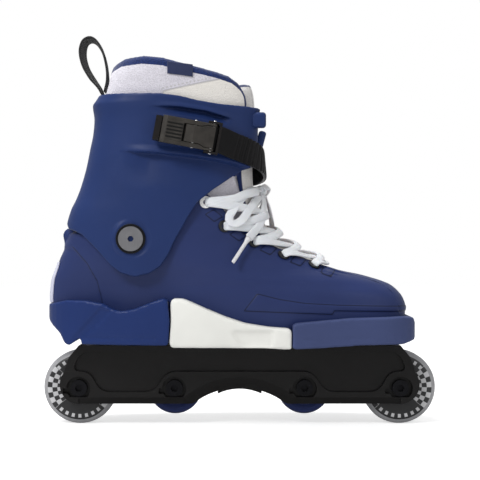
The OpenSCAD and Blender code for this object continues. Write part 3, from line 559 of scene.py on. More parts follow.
def metal(name, colour, rough=0.3, brush=(40, 40, 3000)):
    look = Look(name, Metallic=1.0)
    place = look.object_place()
    lines = look.noise(look.stretched(place, brush), 1.0, 3)
    look.colour(look.mix(lines, shade(colour, 0.8), colour))
    look.speckle(place, 400, 3, rough - 0.06, rough + 0.1)
    look.bump(lines, 0.08, 0.0001)
    return look.material


def fabric(look, place, colour, size=900.0, depth=0.5, drift=0.08):
    """Looped or woven cloth colour and height, with painted shade in the hollows between loops; drift deepens
    that painted shade.
    """
    loops = look.cells(place, size)
    fine = look.noise(place, size * 1.7, 3)
    height = look.maths("ADD", look.times(loops, 1.0), look.times(fine, 0.5))
    raised = look.ramp(height, 0.25, 0.95)
    big = look.noise(place, 40, 3)
    # painted shade: the low parts of the loops are darker
    dark = shade(colour, 0.82 - drift)
    tone = look.mix(look.ramp(big, 0.35, 0.65), shade(colour, 0.95), colour)
    look.bump(height, depth, 0.0005)
    return look.mix(raised, dark, tone)


WHITE_TERRY = srgb(216, 213, 222)
CREAM = srgb(234, 230, 224)
# the tongue's cream: a shaded copy of the panel cream, painted shade for the tongue
SHADED_TONGUE_CREAM = srgb(232, 229, 226)
LINING = srgb(20, 38, 86)
TAG_NAVY = srgb(24, 38, 82)


def liner_look():
    """Terry outside, navy lining inside and over the rim, a smooth cream panel, and stitched seams."""
    look = Look("liner_cloth", Roughness=0.92, Sheen_Weight=0.35, Specular_IOR_Level=0.2)
    place = look.rest_place()
    cloth = fabric(look, place, WHITE_TERRY, 1000, 0.6)
    weave = look.noise(place, 2600, 2)
    panel = look.mix(weave, shade(CREAM, 0.9), CREAM)
    cloth = look.mix(look.ramp(look.layer("panel"), -0.15, 0.15), cloth, panel)
    seam = look.ramp(look.size(look.layer("seam")), 0.9, 0.4)
    cloth = look.mix(look.times(seam, 0.5), cloth, srgb(150, 148, 150))
    dashes = look.ramp(look.maths("SINE", look.times(look.layer("seam_run"), 2.1)), -0.1, 0.2)
    stitch = look.ramp(look.size(look.maths("SUBTRACT", look.layer("seam"), 2.2)), 0.6, 0.35)
    cloth = look.mix(look.times(stitch, dashes), cloth, srgb(190, 188, 190))
    mesh = look.cells(place, 800)
    lining = look.mix(look.ramp(mesh, 0.1, 0.6), shade(LINING, 0.6), shade(LINING, 1.25))
    look.colour(look.mix(look.ramp(look.layer("lining"), -0.15, 0.15), cloth, lining))
    return look.material


def tongue_look():
    look = Look("tongue_cloth", Roughness=0.9, Sheen_Weight=0.3, Specular_IOR_Level=0.2)
    cloth = fabric(look, look.rest_place(), SHADED_TONGUE_CREAM, 1200, 0.45)
    stripe = look.ramp(look.size(look.layer("channel")), 1.1, 0.5)
    cloth = look.mix(look.times(stripe, 0.45), cloth, srgb(140, 140, 150))
    look.colour(look.mix(look.ramp(look.layer("binding"), -0.15, 0.15), cloth, LINING))
    return look.material


def webbing_look(name, colour, pitch, rough=0.8):
    """Flat woven tape: ribs across it and a fine twill along it, in the strip's own measure."""
    look = Look(name, Roughness=rough, Sheen_Weight=0.2)
    parts = look.node("ShaderNodeSeparateXYZ", {0: look.uv_place()}).outputs
    along = look.maths("SINE", look.times(parts["Y"], 2 * math.pi / pitch))
    slant = look.maths("ADD", parts["X"], look.times(parts["Y"], 0.8))
    twill = look.maths("SINE", look.times(slant, 2 * math.pi / (pitch * 0.9)))
    height = look.maths("ADD", along, twill)
    look.colour(look.mix(look.ramp(height, -1.6, 1.6), shade(colour, 0.55), shade(colour, 1.3)))
    look.bump(height, 0.5, 0.0002)
    return look.material


def lace_look():
    """Flat braid: chevron yarns that meet along the middle of the lace."""
    look = Look("lace_braid", Roughness=0.85, Sheen_Weight=0.3, Subsurface_Weight=0.08)
    parts = look.node("ShaderNodeSeparateXYZ", {0: look.uv_place()}).outputs
    slant = look.maths("ADD", look.times(look.size(parts["X"]), 1.1), parts["Y"])
    yarn = look.maths("SINE", look.times(slant, 2 * math.pi / 0.00125))
    rib = look.maths("SINE", look.times(parts["X"], 2 * math.pi / 0.0011))
    height = look.maths("ADD", yarn, look.times(rib, 0.6))
    look.colour(look.mix(look.ramp(height, -1.4, 1.2), srgb(226, 226, 232), srgb(253, 253, 254)))
    look.bump(height, 0.6, 0.0003)
    return look.material


def wheel_look(name, x, z, tread, ring, ground, mark):
    """Cast urethane with a printed band round the hub: checks at two sides, bars between them."""
    look = Look(name, Specular_IOR_Level=0.5)
    place = look.object_place()
    parts = look.node("ShaderNodeSeparateXYZ", {0: place}).outputs
    dx = look.maths("SUBTRACT", parts["X"], x * MM)
    dz = look.maths("SUBTRACT", parts["Z"], z * MM)
    r = look.maths("SQRT", look.maths("ADD", look.times(dx, dx), look.times(dz, dz)))
    turn = look.maths("ARCTAN2", dz, dx)
    ring_wave = look.maths("SINE", look.times(look.maths("SUBTRACT", r, 0.0137), math.pi / 0.0038))
    turn_wave = look.maths("SINE", look.times(turn, 18))
    checks = look.ramp(look.times(ring_wave, turn_wave), -0.02, 0.02)
    bars = look.ramp(look.maths("SINE", look.times(turn, 27)), 0.1, 0.2)
    in_bars = look.times(look.ramp(r, 0.0207, 0.0209), look.ramp(r, 0.0237, 0.0235))
    upright = look.size(look.maths("SINE", turn))
    printed = look.mix(look.ramp(upright, 0.64, 0.66), checks, look.times(bars, in_bars))
    value = look.node("ShaderNodeRGBToBW", {0: printed}).outputs[0]
    band_colour = look.mix(value, ground, mark)
    scuff = look.noise(place, 300, 4)
    cast = look.mix(look.ramp(scuff, 0.35, 0.7), shade(tread, 0.85), tread)
    look.colour(look.mix(look.ramp(r, ring - 0.0001, ring + 0.0001), band_colour, cast))
    look.speckle(place, 500, 3, 0.3, 0.5)
    look.bump(look.noise(place, 1500, 2), 0.08, 0.0002)
    return look.material


def aglet_look():
    look = Look("aglet_plastic", Coat_Weight=0.6)
    place = look.object_place()
    look.colour(look.mix(look.noise(place, 700, 3), srgb(196, 196, 200), srgb(238, 238, 240)))
    look.speckle(place, 300, 2, 0.18, 0.3)
    look.bump(look.noise(place, 900, 2), 0.15, 0.0002)
    return look.material


def footbed_look():
    look = Look("footbed_cloth", Roughness=0.9, Specular_IOR_Level=0.2)
    look.colour(fabric(look, look.rest_place(), srgb(124, 132, 156), 700, 0.4))
    return look.material


def tag_look():
    look = Look("tag_weave", Roughness=0.8, Sheen_Weight=0.25)
    twill = look.maths("SINE", look.times(look.dot(look.rest_place(), (1, 0, 1)), 9000))
    look.colour(look.mix(look.ramp(twill, -1, 1), shade(TAG_NAVY, 0.7), TAG_NAVY))
    look.bump(twill, 0.4, 0.0002)
    return look.material


# ---------------- laces and cords

LACE = lace_look()
AGLET = aglet_look()
KNOT = (16.5, -1, 181)
LACE_W = 6.6
LACE_T = 1.8
NEAR_LOOP = [(15, -6, 182.5), (9, -19, 181), (2, -30, 175), (-4, -37.5, 167), (-8, -41, 159.5),
             (-5, -42, 155), (1, -40, 157), (6, -34, 163.5), (11, -24, 171), (15, -12, 177)]
FAR_LOOP = [(18, 4, 183), (22, 11, 185), (21, 20, 182), (15, 30, 175), (8, 37.5, 167), (4, 41, 160),
            (7, 42, 155.5), (12, 38, 158), (17, 30, 165), (20, 18, 172), (19.5, 8, 177.5)]
NEAR_END = [(18, -7, 177), (19, -12, 171), (18, -20, 163), (15.5, -29, 155), (11, -36, 149),
            (7, -40.5, 144.5)]
NEAR_TIP = (-5, -50.5, 126)
FAR_END = [(20, 2.5, 176.5), (23, 6, 169), (25, 12, 160), (26, 20, 152), (24, 29, 146), (19, 37, 141)]
FAR_TIP = (8, 49, 124)


def free_lace(name, node, route):
    path = spline(route, 36)
    away = unit(path - np.array([-20, 0, 130]))
    wave = np.sin(np.linspace(0, 9, len(path)))[:, None] * 0.18
    normals = unit(away + wave * np.array([1, 0, 0]))
    piece = use(band(name, path, normals, LACE_W / 2, LACE_T / 2), LACE, "lace_cloth", None, node)
    return piece, [tuple(p * MM) for p in path]


def aglet(name, start, tip):
    """Clear plastic sleeve shrunk over a lace's tip."""
    start, tip = np.array(start, float), np.array(tip, float)
    path = np.linspace(start, tip, 14)
    t = np.linspace(0, 1, 14)
    width = 2.5 - 0.95 * smooth01(t / 0.25) - 0.25 * smooth01((t - 0.9) / 0.1)
    side = np.cross(unit(tip - start), [0, 0, 1.0])
    piece = band(name, path, np.tile(side, (14, 1)), width, width * 0.85, power=2.0)
    return use(piece, AGLET, "aglet_film", "boot", "aglets")


near_loop, near_loop_path = free_lace("bow_loop_outer", "bow_loop_near", NEAR_LOOP)
far_loop, far_loop_path = free_lace("bow_loop_inner", "bow_loop_far", FAR_LOOP)
near_end, near_end_path = free_lace("lace_end_outer", "lace_end_near", NEAR_END)
far_end, far_end_path = free_lace("lace_end_inner", "lace_end_far", FAR_END)
near_aglet = aglet("aglet_outer", NEAR_END[-1], NEAR_TIP)
far_aglet = aglet("aglet_inner", FAR_END[-1], FAR_TIP)


for loop, path in ((near_loop, near_loop_path), (far_loop, far_loop_path)):
    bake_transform(loop)
for end, path, tip in ((near_end, near_end_path, near_aglet), (far_end, far_end_path, far_aglet)):
    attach(end, "boot")


STRAND_T = 2.5


def strand_from(points, name):
    """Lace lying on the boot from shell angle and height to angle and height, each with its lift."""
    fine = spline(points, 40)
    a, z, out = fine[:, 0], fine[:, 1], fine[:, 2]
    return band(name, SHELL.point(a, z, out), SHELL.normal(a, z), LACE_W / 2, STRAND_T / 2, power=2.2)


def crossing(i, j, side, lift, name):
    """Strand from eyelet i on one side to eyelet j on the other, dipping out of sight into both."""
    (x0, z0), (x1, z1) = EYELETS[i], EYELETS[j]
    a0, a1 = float(SHELL.angle(x0, z0)), 360 - float(SHELL.angle(x1, z1))
    points = []
    for t, out in ((0, 0.6), (0.035, 3.2), (0.12, 3.4), (0.3, 1.8 + lift), (0.5, 2.2 + lift),
                   (0.7, 1.8 + lift), (0.88, 3.4), (0.965, 3.2), (1, 0.6)):
        a = a0 + (a1 - a0) * t
        points.append((a if side < 0 else 360 - a, z0 + (z1 - z0) * t, out))
    return strand_from(points, name)


lacing = []
for i in range(4):
    lacing.append(crossing(i, i + 1, -1, 0.2, f"lace_under_{i}"))
    lacing.append(crossing(i, i + 1, 1, 3.2, f"lace_over_{i}"))
lacing.append(crossing(4, 4, -1, 0.2, "lace_toe_bar"))
for side in (-1, 1):
    x, z = EYELETS[0]
    start = float(SHELL.angle(x, z))
    run = [(start, z, 0.6), (start + 4, z + 0.5, 2.6), (start + 22, z + 2.5, 2.6), (150, z + 6, 2.6),
           (174, 180, 3.4)]
    lacing.append(strand_from([(a if side < 0 else 360 - a, h, out) for a, h, out in run],
                              f"lace_top_{'outer' if side < 0 else 'inner'}"))


def knot_wrap(name, tilt, radius, width, axis_shift):
    """One turn of lace pulled tight round the knot."""
    turn = np.linspace(0, 2 * math.pi * 1.04, 40)
    ring = np.stack([np.cos(turn) * radius, axis_shift + turn * 0.12, np.sin(turn) * radius * 0.9], axis=1)
    spin = np.array(Euler((math.radians(tilt), 0, math.radians(tilt * 0.4))).to_matrix())
    path = ring @ spin.T + np.array(KNOT)
    return band(name, path, unit(path - np.array(KNOT)), width / 2, LACE_T / 2)


lacing.append(knot_wrap("knot_wrap_middle", 8, 3.9, 6.6, -0.6))
lacing.append(knot_wrap("knot_wrap_outer", 62, 3.0, 6.2, -1.6))
lacing.append(knot_wrap("knot_wrap_inner", -58, 3.0, 6.2, 1.2))
for piece in lacing:
    use(piece, LACE, "lace_cloth", None, "bow_knot" if piece.name.startswith("knot") else "lacing")
    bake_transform(piece)

# ---------------- boot shell


SHELL_LOW = 70
SHELL_HALF = 1.9
SIDE_BAND = [(3.4, 89.6), (13.3, 102.4), (30, 98.2), (48.8, 95.3), (73.3, 93.8), (122, 92.2), (150, 92.2),
             (150, 88.3), (122.3, 88.3), (70.9, 89.6), (69.7, 86.9)]
HEEL_STEP = [(-126.8, 136.8), (-116.2, 125.4), (-108.5, 111.8), (-104.7, 96.6), (-104, 88)]
NOTCHES = [(-19.4, 161.2, -39), (-0.9, 146.4, -36), (21.9, 135.7, -26), (44.7, 127, -22), (67.5, 118.9, -20)]


def within(polygon, x, z):
    """Signed distance to a closed outline of x and z points, positive inside it."""
    closed = list(polygon) + [polygon[0]]
    distance = np.abs(distance_to(closed, x, z)[0])
    inside = np.zeros(np.shape(x), bool)
    for (x0, z0), (x1, z1) in zip(closed[:-1], closed[1:]):
        if z0 != z1:
            crosses = ((z0 > z) != (z1 > z)) & (x < (x1 - x0) * (z - z0) / (z1 - z0) + x0)
            inside ^= crosses
    return np.where(inside, distance, -distance)


def notch(cx, cz, slope):
    """Outline of one slanted mark beside the eyelets."""
    c, s = math.cos(math.radians(slope)), math.sin(math.radians(slope))
    corners = [(-5.6, -3.4), (3.0, -3.4), (5.6, 3.4), (-3.0, 3.4)]
    return [(cx + u * c - v * s, cz + u * s + v * c) for u, v in corners]


def panel_lines(x, z):
    """Signed distance to the nearest moulded outline, positive inside."""
    nearest = within(SIDE_BAND, x, z)
    for mark in NOTCHES:
        nearest = np.maximum(nearest, within(notch(*mark), x, z))
    return nearest


def shell_relief(x, y, z):
    """How far the shell's skin stands out of its plain form, in millimetres."""
    relief = 0.7 * smooth01(0.5 + panel_lines(x, z) / 1.6)
    step, _ = distance_to(HEEL_STEP, x, z)
    relief = relief - 1.3 * smooth01(-step / 1.2) * smooth01((26 + step) / 22) * smooth01((139 - z) / 4)
    tab = smooth01((13 - np.abs(y)) / 1.5) * smooth01((z - 138) / 9) * smooth01((149.6 - z) / 1.0)
    return relief + np.where(x < -100, 4.2 * tab, 0)


angles = SHELL.even_angles(100, 441, 0, 360)[:-1]
tops = meet(SHELL, angles, [(-160, 188), *THROAT_EDGE, (82, 124), (83, 300)], SHELL_LOW + 2, 190)
a_grid, z_grid = rows_between(angles, SHELL_LOW, tops, rim_steps(96, 60, SHELL_HALF))
plain = SHELL.point(a_grid, z_grid)
relief = shell_relief(plain[..., 0], plain[..., 1], plain[..., 2])
normals = SHELL.normal(a_grid, z_grid)
lines = panel_lines(plain[..., 0], plain[..., 2])
step, _ = distance_to(HEEL_STEP, plain[..., 0], plain[..., 2])
lines = np.where(np.abs(step) < np.abs(lines), step, lines)
# the shell's panel outlines, slanted marks and heel step are darkened as painted shade in their creases
shell_skin = plastic("shell_plastic", srgb(38, 50, 94), 0.40, 1600, 0.14, lines=True, gloss=0.2)
mid = plain + normals * (relief - SHELL_HALF)[..., None]
shell = slab("boot_shell", mid, normals, SHELL_HALF, 1.2, wrap=True,
             layers={"line": [lines, np.full(lines.shape, 9.0)]})
use(shell, shell_skin, "shell_plastic", "boot", "shell")

STRIP_WIDE, STRIP_LOW, STRIP_TALL = 26, 94.6, 31
a_grid, z_grid = np.meshgrid((rim_steps(24, STRIP_WIDE, 1) - 0.5) * STRIP_WIDE,
                             STRIP_LOW + STRIP_TALL * rim_steps(30, STRIP_TALL, 1))
strip_skin = plastic("heel_strip_plastic", srgb(196, 197, 214), 0.3, 1500, 0.1, scuff=0.1)
strip_panel = slab("heel_strip_panel", SHELL.point(a_grid, z_grid, 0.3), SHELL.normal(a_grid, z_grid), 0.55)
use(strip_panel, strip_skin, "strip_plastic", "boot", "heel_strip")

# ---------------- cuff

CUFF_HALF = 1.75
PIVOT_FLAT, PIVOT_Y = 15.5, 47.2
LEDGE_DEPTH, SCOOP_DEPTH = 5.8, 4.3
LEDGE = [(-130, 209.9), (-88, 209.9), (-60, 208.4), (-30, 205.2), (-7.9, 201.3), (6.6, 197.6), (20, 194)]
SCOOP = [(-130, 243.4), (-66.3, 243.4), (-45, 242.6), (-25, 239.6), (-7, 234.6), (20, 226)]


def cuff_relief(x, z):
    """Ledge under the strap and scoop above the buckle, each below a raised lip, in millimetres."""
    below = height_on(LEDGE, x) - z
    along = smooth01((x + 91) / 24)
    ledge = LEDGE_DEPTH * smooth01(below / 1.0) * smooth01((29 - below) / 28) * along
    lip = 1.3 * smooth01((below + 6) / 5.4) * smooth01((0.8 - below) / 0.8) * along
    under = height_on(SCOOP, x) - z
    reach = smooth01((x + 70) / 30) * smooth01((-5 - x) / 10)
    scoop = SCOOP_DEPTH * smooth01(under / 1.0) * smooth01((7.5 - under) / 6) * reach
    brow = 1.0 * smooth01((under + 4) / 3.4) * smooth01((0.8 - under) / 0.8) * reach
    return lip + brow - ledge - scoop


angles = CUFF.even_angles(210, 361, -167, 167)
low = meet(CUFF, angles, CUFF_BOTTOM, 112, 257)
high = meet(CUFF, angles, CUFF_TOP, 200, 257)
low = np.minimum(low, high - 6)
a_grid, z_grid = rows_between(angles, low, high, rim_steps(210, 90, CUFF_HALF))
plain = CUFF.point(a_grid, z_grid)
normals = CUFF.normal(a_grid, z_grid)
mid = plain + normals * (cuff_relief(plain[..., 0], plain[..., 2]) - CUFF_HALF)[..., None]
seat = smooth01((PIVOT_FLAT - np.hypot(plain[..., 0] - PIVOT[0], plain[..., 2] - PIVOT[1])) / 2.5)
mid[..., 1] += seat * (np.sign(mid[..., 1]) * (PIVOT_Y - CUFF_HALF) - mid[..., 1])
cuff_skin = plastic("cuff_plastic", srgb(31, 48, 93), 0.42, 1600, 0.14, gloss=0.16)
use(slab("cuff_shell", mid, normals, CUFF_HALF, 1.3), cuff_skin, "cuff_plastic", "cuff", "cuff")

BUCKLE_AT = np.array([-38.5, -50.2, 221.9])
BUCKLE_TURN, BUCKLE_DIP = math.radians(4), math.radians(10.4)
BUCKLE = (Matrix.Translation(Vector(BUCKLE_AT)) @ Matrix.Rotation(BUCKLE_TURN, 4, "Z")
          @ Matrix.Rotation(BUCKLE_DIP, 4, "Y") @ Matrix.Rotation(math.radians(90), 4, "X"))
use(rounded_box("buckle_seat", (-24, -8.5, -6), (21, 8.5, 0), 1.2, BUCKLE), cuff_skin, "cuff_plastic", "cuff")
use(rounded_box("front_block", (0, 0, 0), (11.6, 7.5, 12), 2.4, Matrix.Translation((8.6, -31, 228.3))),
    cuff_skin, "cuff_plastic", "cuff")
use(rounded_box("front_lip", (0, 0, 0), (6.2, 5, 19), 2.3,
                Matrix.Translation((11, 24, 213)) @ Matrix.Rotation(math.radians(15), 4, "Y")),
    cuff_skin, "cuff_plastic", "cuff")

# ---------------- liner and tongue

LINER = liner_look()
PANEL_X = -57.5
SEAM = [(PANEL_X, 254.6), (-10.2, 265.3), (10, 269)]
SOCK_LOW, SOCK_HALF, SOCK_INSET = 85, 3.0, 7.6
COLLAR_LOW, COLLAR_HALF, COLLAR_INSET = 188, 3.9, 4.1
SOCK_TOP = [(-160, 200), (-1, 200), (2, 192), (2, 179), (3, 166), (5, 159), (12, 149.5), (21, 141.5),
            (30, 136), (40, 133.5), (52, 127), (63, 121.5), (78, 116.5), (83, 124), (84, 300)]


def liner_layers(mid, normal, half):
    """Distances that the cloth's colours are cut along, for both faces of the collar."""
    outer = mid + normal * half
    top = border_distance(mid, False)
    layers = {"lining": [], "panel": [], "seam": [], "seam_run": []}
    for face, p in ((1, outer), (-1, mid - normal * half)):
        x, z = p[..., 0], p[..., 2]
        seam, run = distance_to(SEAM, x, z)
        piping = np.interp(x, (-110, -60, -20, -3, 6), (7.5, 6.5, 5.5, 6.5, 9.5))
        ahead = x - PANEL_X
        panel = np.minimum(np.minimum(-seam, ahead), 300 - z)
        edge = np.where(ahead > 0, seam, np.hypot(seam, ahead))
        layers["lining"].append(piping - top if face > 0 else np.full(x.shape, 5.0))
        layers["panel"].append(panel if face > 0 else np.full(x.shape, -5.0))
        layers["seam"].append(edge if face > 0 else np.full(x.shape, 9.0))
        layers["seam_run"].append(run)
    return layers


angles = SHELL.even_angles(100, 241, 0, 360)[:-1]
tops = meet(SHELL, angles, SOCK_TOP, SOCK_LOW + 1, 203)
a_grid, z_grid = rows_between(angles, SOCK_LOW, tops, rim_steps(60, 90, SOCK_HALF))
normals = SHELL.normal(a_grid, z_grid)
mid = SHELL.point(a_grid, z_grid, -SOCK_INSET)
rows_up = np.cumsum(np.linalg.norm(np.diff(mid, axis=0), axis=-1), axis=0)
rim = np.pad(rows_up[-1:] - rows_up, ((1, 0), (0, 0)), mode="edge")
flat = np.full(rim.shape, -5.0)
layers = {"lining": [2.0 - rim, -flat], "panel": [flat, flat], "seam": [flat + 14, flat + 14],
          "seam_run": [flat, flat]}
sock = slab("liner_sock", mid, normals, SOCK_HALF, wrap=True, layers=layers)
use(sock, LINER, "terry", None, "liner_boot")
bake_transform(sock)

angles = COLLAR.even_angles(250, 221, -155, 155)
tops = meet(COLLAR, angles, COLLAR_TOP, 230, 283.5)
tops[np.abs(angles) < 24] = np.minimum(tops[np.abs(angles) < 24], 282)
a_grid, z_grid = rows_between(angles, COLLAR_LOW, tops, rim_steps(56, 84, 3.8))
normals = COLLAR.normal(a_grid, z_grid)
thick = COLLAR_HALF - 1.1 * smooth01((205 - z_grid) / 15)
quilt = 0.5 * np.cos(z_grid * 0.16 + 0.8 * np.sin(a_grid * 0.05)) * smooth01((z_grid - 215) / 20)
mid = COLLAR.point(a_grid, z_grid, -COLLAR_INSET)
layers = liner_layers(mid, normals, COLLAR_HALF)
collar = slab("collar_padding", mid, normals, thick + 0.3 * quilt, COLLAR_HALF, layers=layers)
use(collar, LINER, "terry", "cuff", "liner_collar")

TONGUE_MIDDLE = [(86, 112), (72, 117.2), (58, 123.6), (45, 129.4), (36, 135.6), (27.5, 142), (20.5, 149),
                 (15.5, 157), (11.5, 167), (8.6, 178), (7.2, 190), (7.2, 205), (7.6, 220), (8.2, 235),
                 (8.6, 246), (7.6, 256), (5.2, 264)]
centre = spline(TONGUE_MIDDLE, 120)
rows = centre[:, None, :]
half_wide = np.interp(centre[:, 1], (112, 130, 190, 240, 258, 266), (30, 30, 25, 26, 25, 21))
across = rim_steps(24, 50, 3.0) * 2 - 1
y = across[None, :] * half_wide[:, None]
depth = np.interp(centre[:, 1], (112, 135, 200), (0.7, 0.9, 1.0))
bow = 10.5 * (np.abs(across) ** 2.6)[None, :] * depth[:, None]
slope = unit(np.gradient(centre, axis=0))
front = np.stack([slope[:, 1], -slope[:, 0]], axis=1)
mid = np.stack([rows[..., 0] - bow * front[:, None, 0], y, rows[..., 1] - bow * front[:, None, 1]], axis=-1)
du = np.gradient(mid, axis=1)
dv = np.gradient(mid, axis=0)
normals = unit(np.cross(du, dv))
border = border_distance(mid, False)
layers = {"binding": [3.6 - border, 3.6 - border],
          "channel": [np.abs(mid[..., 1]) - 11, np.abs(mid[..., 1]) - 11]}
tongue = slab("tongue", mid, normals, 3.0, 3.0, layers=layers)
use(tongue, tongue_look(), "tongue_cloth", None, "tongue_lower", "tongue_upper")
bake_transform(tongue)

BED_Z = 84.0
angles = SHELL.even_angles(BED_Z, 121, 0, 360)[:-1]
rings = np.linspace(0.02, 1, 22)
a_grid, r_grid = np.meshgrid(angles, rings)
rim_line = SHELL.point(a_grid, np.full(a_grid.shape, BED_Z), -12.5)
middle = np.array([-10.0, 1.5, BED_Z])
mid = middle + (rim_line - middle) * r_grid[..., None]
mid[..., 2] = BED_Z + 0.3 + 3.2 * r_grid ** 4 - 0.9 * np.sin((mid[..., 0] + 30) / 40) * (1 - r_grid)
bed_normals = unit(np.cross(np.gradient(mid, axis=0), np.gradient(mid, axis=1)))
footbed = slab("footbed_top", mid, bed_normals * np.sign(bed_normals[..., 2:3]), 1.5, 1.2, wrap=True)
use(footbed, footbed_look(), "footbed_foam", "boot", "footbed")

# ---------------- tag, pull loop and strap

TAG_X, TAG_Z = -54.2, 267.6
x_grid, rise = np.meshgrid(rim_steps(16, 19, 0.5) * 19 + TAG_X, rim_steps(10, 9, 0.5) * 9.2)
z_grid = TAG_Z + rise - 0.12 * (x_grid - TAG_X)
a_grid = COLLAR.angle(x_grid, z_grid)
tag = slab("liner_tag_cloth", COLLAR.point(a_grid, z_grid, 0.5), COLLAR.normal(a_grid, z_grid), 0.5)
use(tag, tag_look(), "navy_cloth", "cuff", "liner_tag")

LOOP = [(-107.2, 256.4), (-110, 262), (-116, 270), (-121, 279), (-123.2, 289), (-121.6, 297), (-117, 300.0),
        (-112, 297.6), (-107.3, 290), (-104.4, 279), (-103.6, 268), (-105.2, 258.5)]
line = spline(LOOP, 90)
path = np.stack([line[:, 0], np.zeros(90), line[:, 1]], axis=1)
forward = unit(np.gradient(path, axis=0))
outward = np.cross(forward, [0, 1, 0])
t = np.linspace(0, 1, 90)
twist = np.radians(np.interp(t, (0, 0.15, 0.4, 0.6, 0.85, 1), (0, 8, 9, 3, 3, 0)))[:, None]
normals = outward * np.cos(twist) + np.array([0, 1, 0]) * np.sin(twist)
pull_loop = band("pull_loop_webbing", path, normals, 9.7, 1.0, power=5, sides=20)
use(pull_loop, webbing_look("loop_webbing", srgb(20, 20, 22), 0.0016), "webbing", "cuff", "pull_loop")

STRAP_LOW, STRAP_T = 2.4, 2.2
ALONG = np.array([math.cos(BUCKLE_TURN) * math.cos(BUCKLE_DIP), math.sin(BUCKLE_TURN) * math.cos(BUCKLE_DIP),
                  -math.sin(BUCKLE_DIP)])
OUT = np.array([math.sin(BUCKLE_TURN), -math.cos(BUCKLE_TURN), 0])
STRAP_RUN = [(133, 213.2, 3.4), (142, 210.8, 2.2), (155, 207.4, 1.7), (168, 204, 1.7), (180, 201.2, 1.8),
             (192, 198.8, 1.7), (205, 196.8, 1.7), (218, 195.4, 1.7), (232, 194.6, 1.7), (248, 194.4, 1.7)]
knots = [np.concatenate([BUCKLE_AT + u * ALONG + (STRAP_LOW + STRAP_T / 2) * OUT, OUT])
         for u in (-16, -6, 4, 14, 23)]
for a, z, out in STRAP_RUN:
    knots.append(np.concatenate([CUFF.point(a, z, out), CUFF.normal(a, z)]))
run = spline(knots, 330)
along = np.concatenate([[0], np.cumsum(np.linalg.norm(np.diff(run[:, :3], axis=0), axis=1))])
ribbed = (run[:, 0] > -3) & (run[:, 1] < 34)
tooth = np.clip(1.6 * np.cos(2 * math.pi * along / 4.2), -0.5, 0.6) + 0.5
ribs = np.where(ribbed & (along > 38), 0.85 * tooth, 0)
strap = band("ladder_strap_ribbed", run[:, :3], unit(run[:, 3:]), 9.9, STRAP_T / 2, power=7, sides=24,
             top=ribs)
strap_skin = plastic("strap_plastic", srgb(15, 14, 16), 0.34, 1400, 0.15, gloss=0.16)
use(strap, strap_skin, "strap_plastic", "cuff", "ladder_strap")

# ---------------- CAD nodes that keep their shape


def dress(names, material, width=0.0, segments=3, angle=30):
    """New finish for CAD nodes, with their sharp edges rounded by a modifier."""
    for name in names:
        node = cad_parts[name]
        for held in node.material_slots:
            held.material = material
        if width:
            weld = node.modifiers.new("weld", "WELD")
            weld.merge_threshold = 0.00001
            bevel = node.modifiers.new("edges", "BEVEL")
            bevel.width = width
            bevel.segments = segments
            bevel.limit_method = "ANGLE"
            bevel.angle_limit = math.radians(angle)
            bevel.harden_normals = False


def sculpt(name, material, voxel, passes):
    """Rounds a CAD node all over, as a moulded part is."""
    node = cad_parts[name]
    for held in node.material_slots:
        held.material = material
    remesh = node.modifiers.new("remesh", "REMESH")
    remesh.mode = "VOXEL"
    remesh.voxel_size = voxel
    remesh.use_smooth_shade = True
    soften = node.modifiers.new("soften", "SMOOTH")
    soften.factor = 0.5
    soften.iterations = passes


frame_skin = plastic("frame_nylon", srgb(21, 20, 20), 0.34, 1100, 0.22, scuff=0.4, wear=1.8, gloss=0.18)
dress(["frame", "groove_block"], frame_skin, 0.0009)
toe_skin = plastic("toe_plate_plastic", srgb(62, 72, 110), 0.5, 1000, 0.4, scuff=0.4)
heel_skin = plastic("heel_plate_plastic", srgb(30, 48, 98), 0.36, 1300, 0.15)
insert_skin = plastic("insert_plastic", srgb(224, 224, 219), 0.42, 1500, 0.12, scuff=0.15, wear=0.8)
sculpt("toe_soul_plate", toe_skin, 0.0011, 6)
sculpt("heel_soul_plate", heel_skin, 0.0011, 6)
sculpt("mid_insert", insert_skin, 0.0011, 20)

steel = metal("zinc_steel", (0.6, 0.6, 0.61), 0.3)
dark_steel = metal("black_zinc_and_painted_shadow", (0.016, 0.016, 0.018), 0.45)
alloy = metal("disc_alloy", (0.27, 0.27, 0.285), 0.36, brush=(2500, 60, 60))
black_skin = plastic("black_plastic", srgb(30, 28, 28), 0.3, 1300, 0.12, scuff=0.3, wear=1.9)
dress(["soul_plate_screws", "frame_bolts", "frame_bolt_washers", "frame_bolt_nuts", "cuff_pivot_nuts",
       "bearing_inner_rings", "lever_pin", "tab_pin", "tab_spring"], steel, 0.0002, 2)
# axle bolts and nuts in near-black steel: painted shadow for their deep axle recesses; the strap bolt shares
# this dark steel
dress(["axle_bolts", "axle_nuts"], dark_steel, 0.0003, 2)
dress(["strap_bolt"], dark_steel, 0.0004, 3)
dress(["cuff_bolts"], alloy, 0.0005, 3)
dress(["cuff_bolt_rings"], plastic("ring_plastic", srgb(18, 18, 20), 0.32, 1300, 0.1), 0.0004, 3)
# the lever and tab are a lighter black than the buckle base: painted highlight for their lit tops
lit_lever_skin = ribbed_lever("lever_plastic", srgb(50, 47, 44), BUCKLE_AT * MM, ALONG, OUT)
dress(["buckle_base"], black_skin, 0.0005, 3)
dress(["buckle_lever", "release_tab"], lit_lever_skin, 0.0006, 3)
dress(["black_eyelets"], metal("eyelet_black", (0.05, 0.05, 0.055), 0.3, brush=(900, 900, 900)), 0.0003, 2)
dress(["white_eyelets"], plastic("eyelet_white", srgb(226, 226, 226), 0.3, 1500, 0.05), 0.0003, 2)
dress(["rear_bearings", "rear_inner_bearings", "front_inner_bearings", "front_bearings"], steel, 0.0002, 2)
hub_skin = plastic("hub_plastic", srgb(58, 58, 62), 0.35)
dress(["rear_hub", "front_hub"], hub_skin, 0.0003, 2)
dress(["rear_inner_hub", "front_inner_hub"], plastic("navy_hub", srgb(36, 44, 84), 0.35), 0.0003, 2)

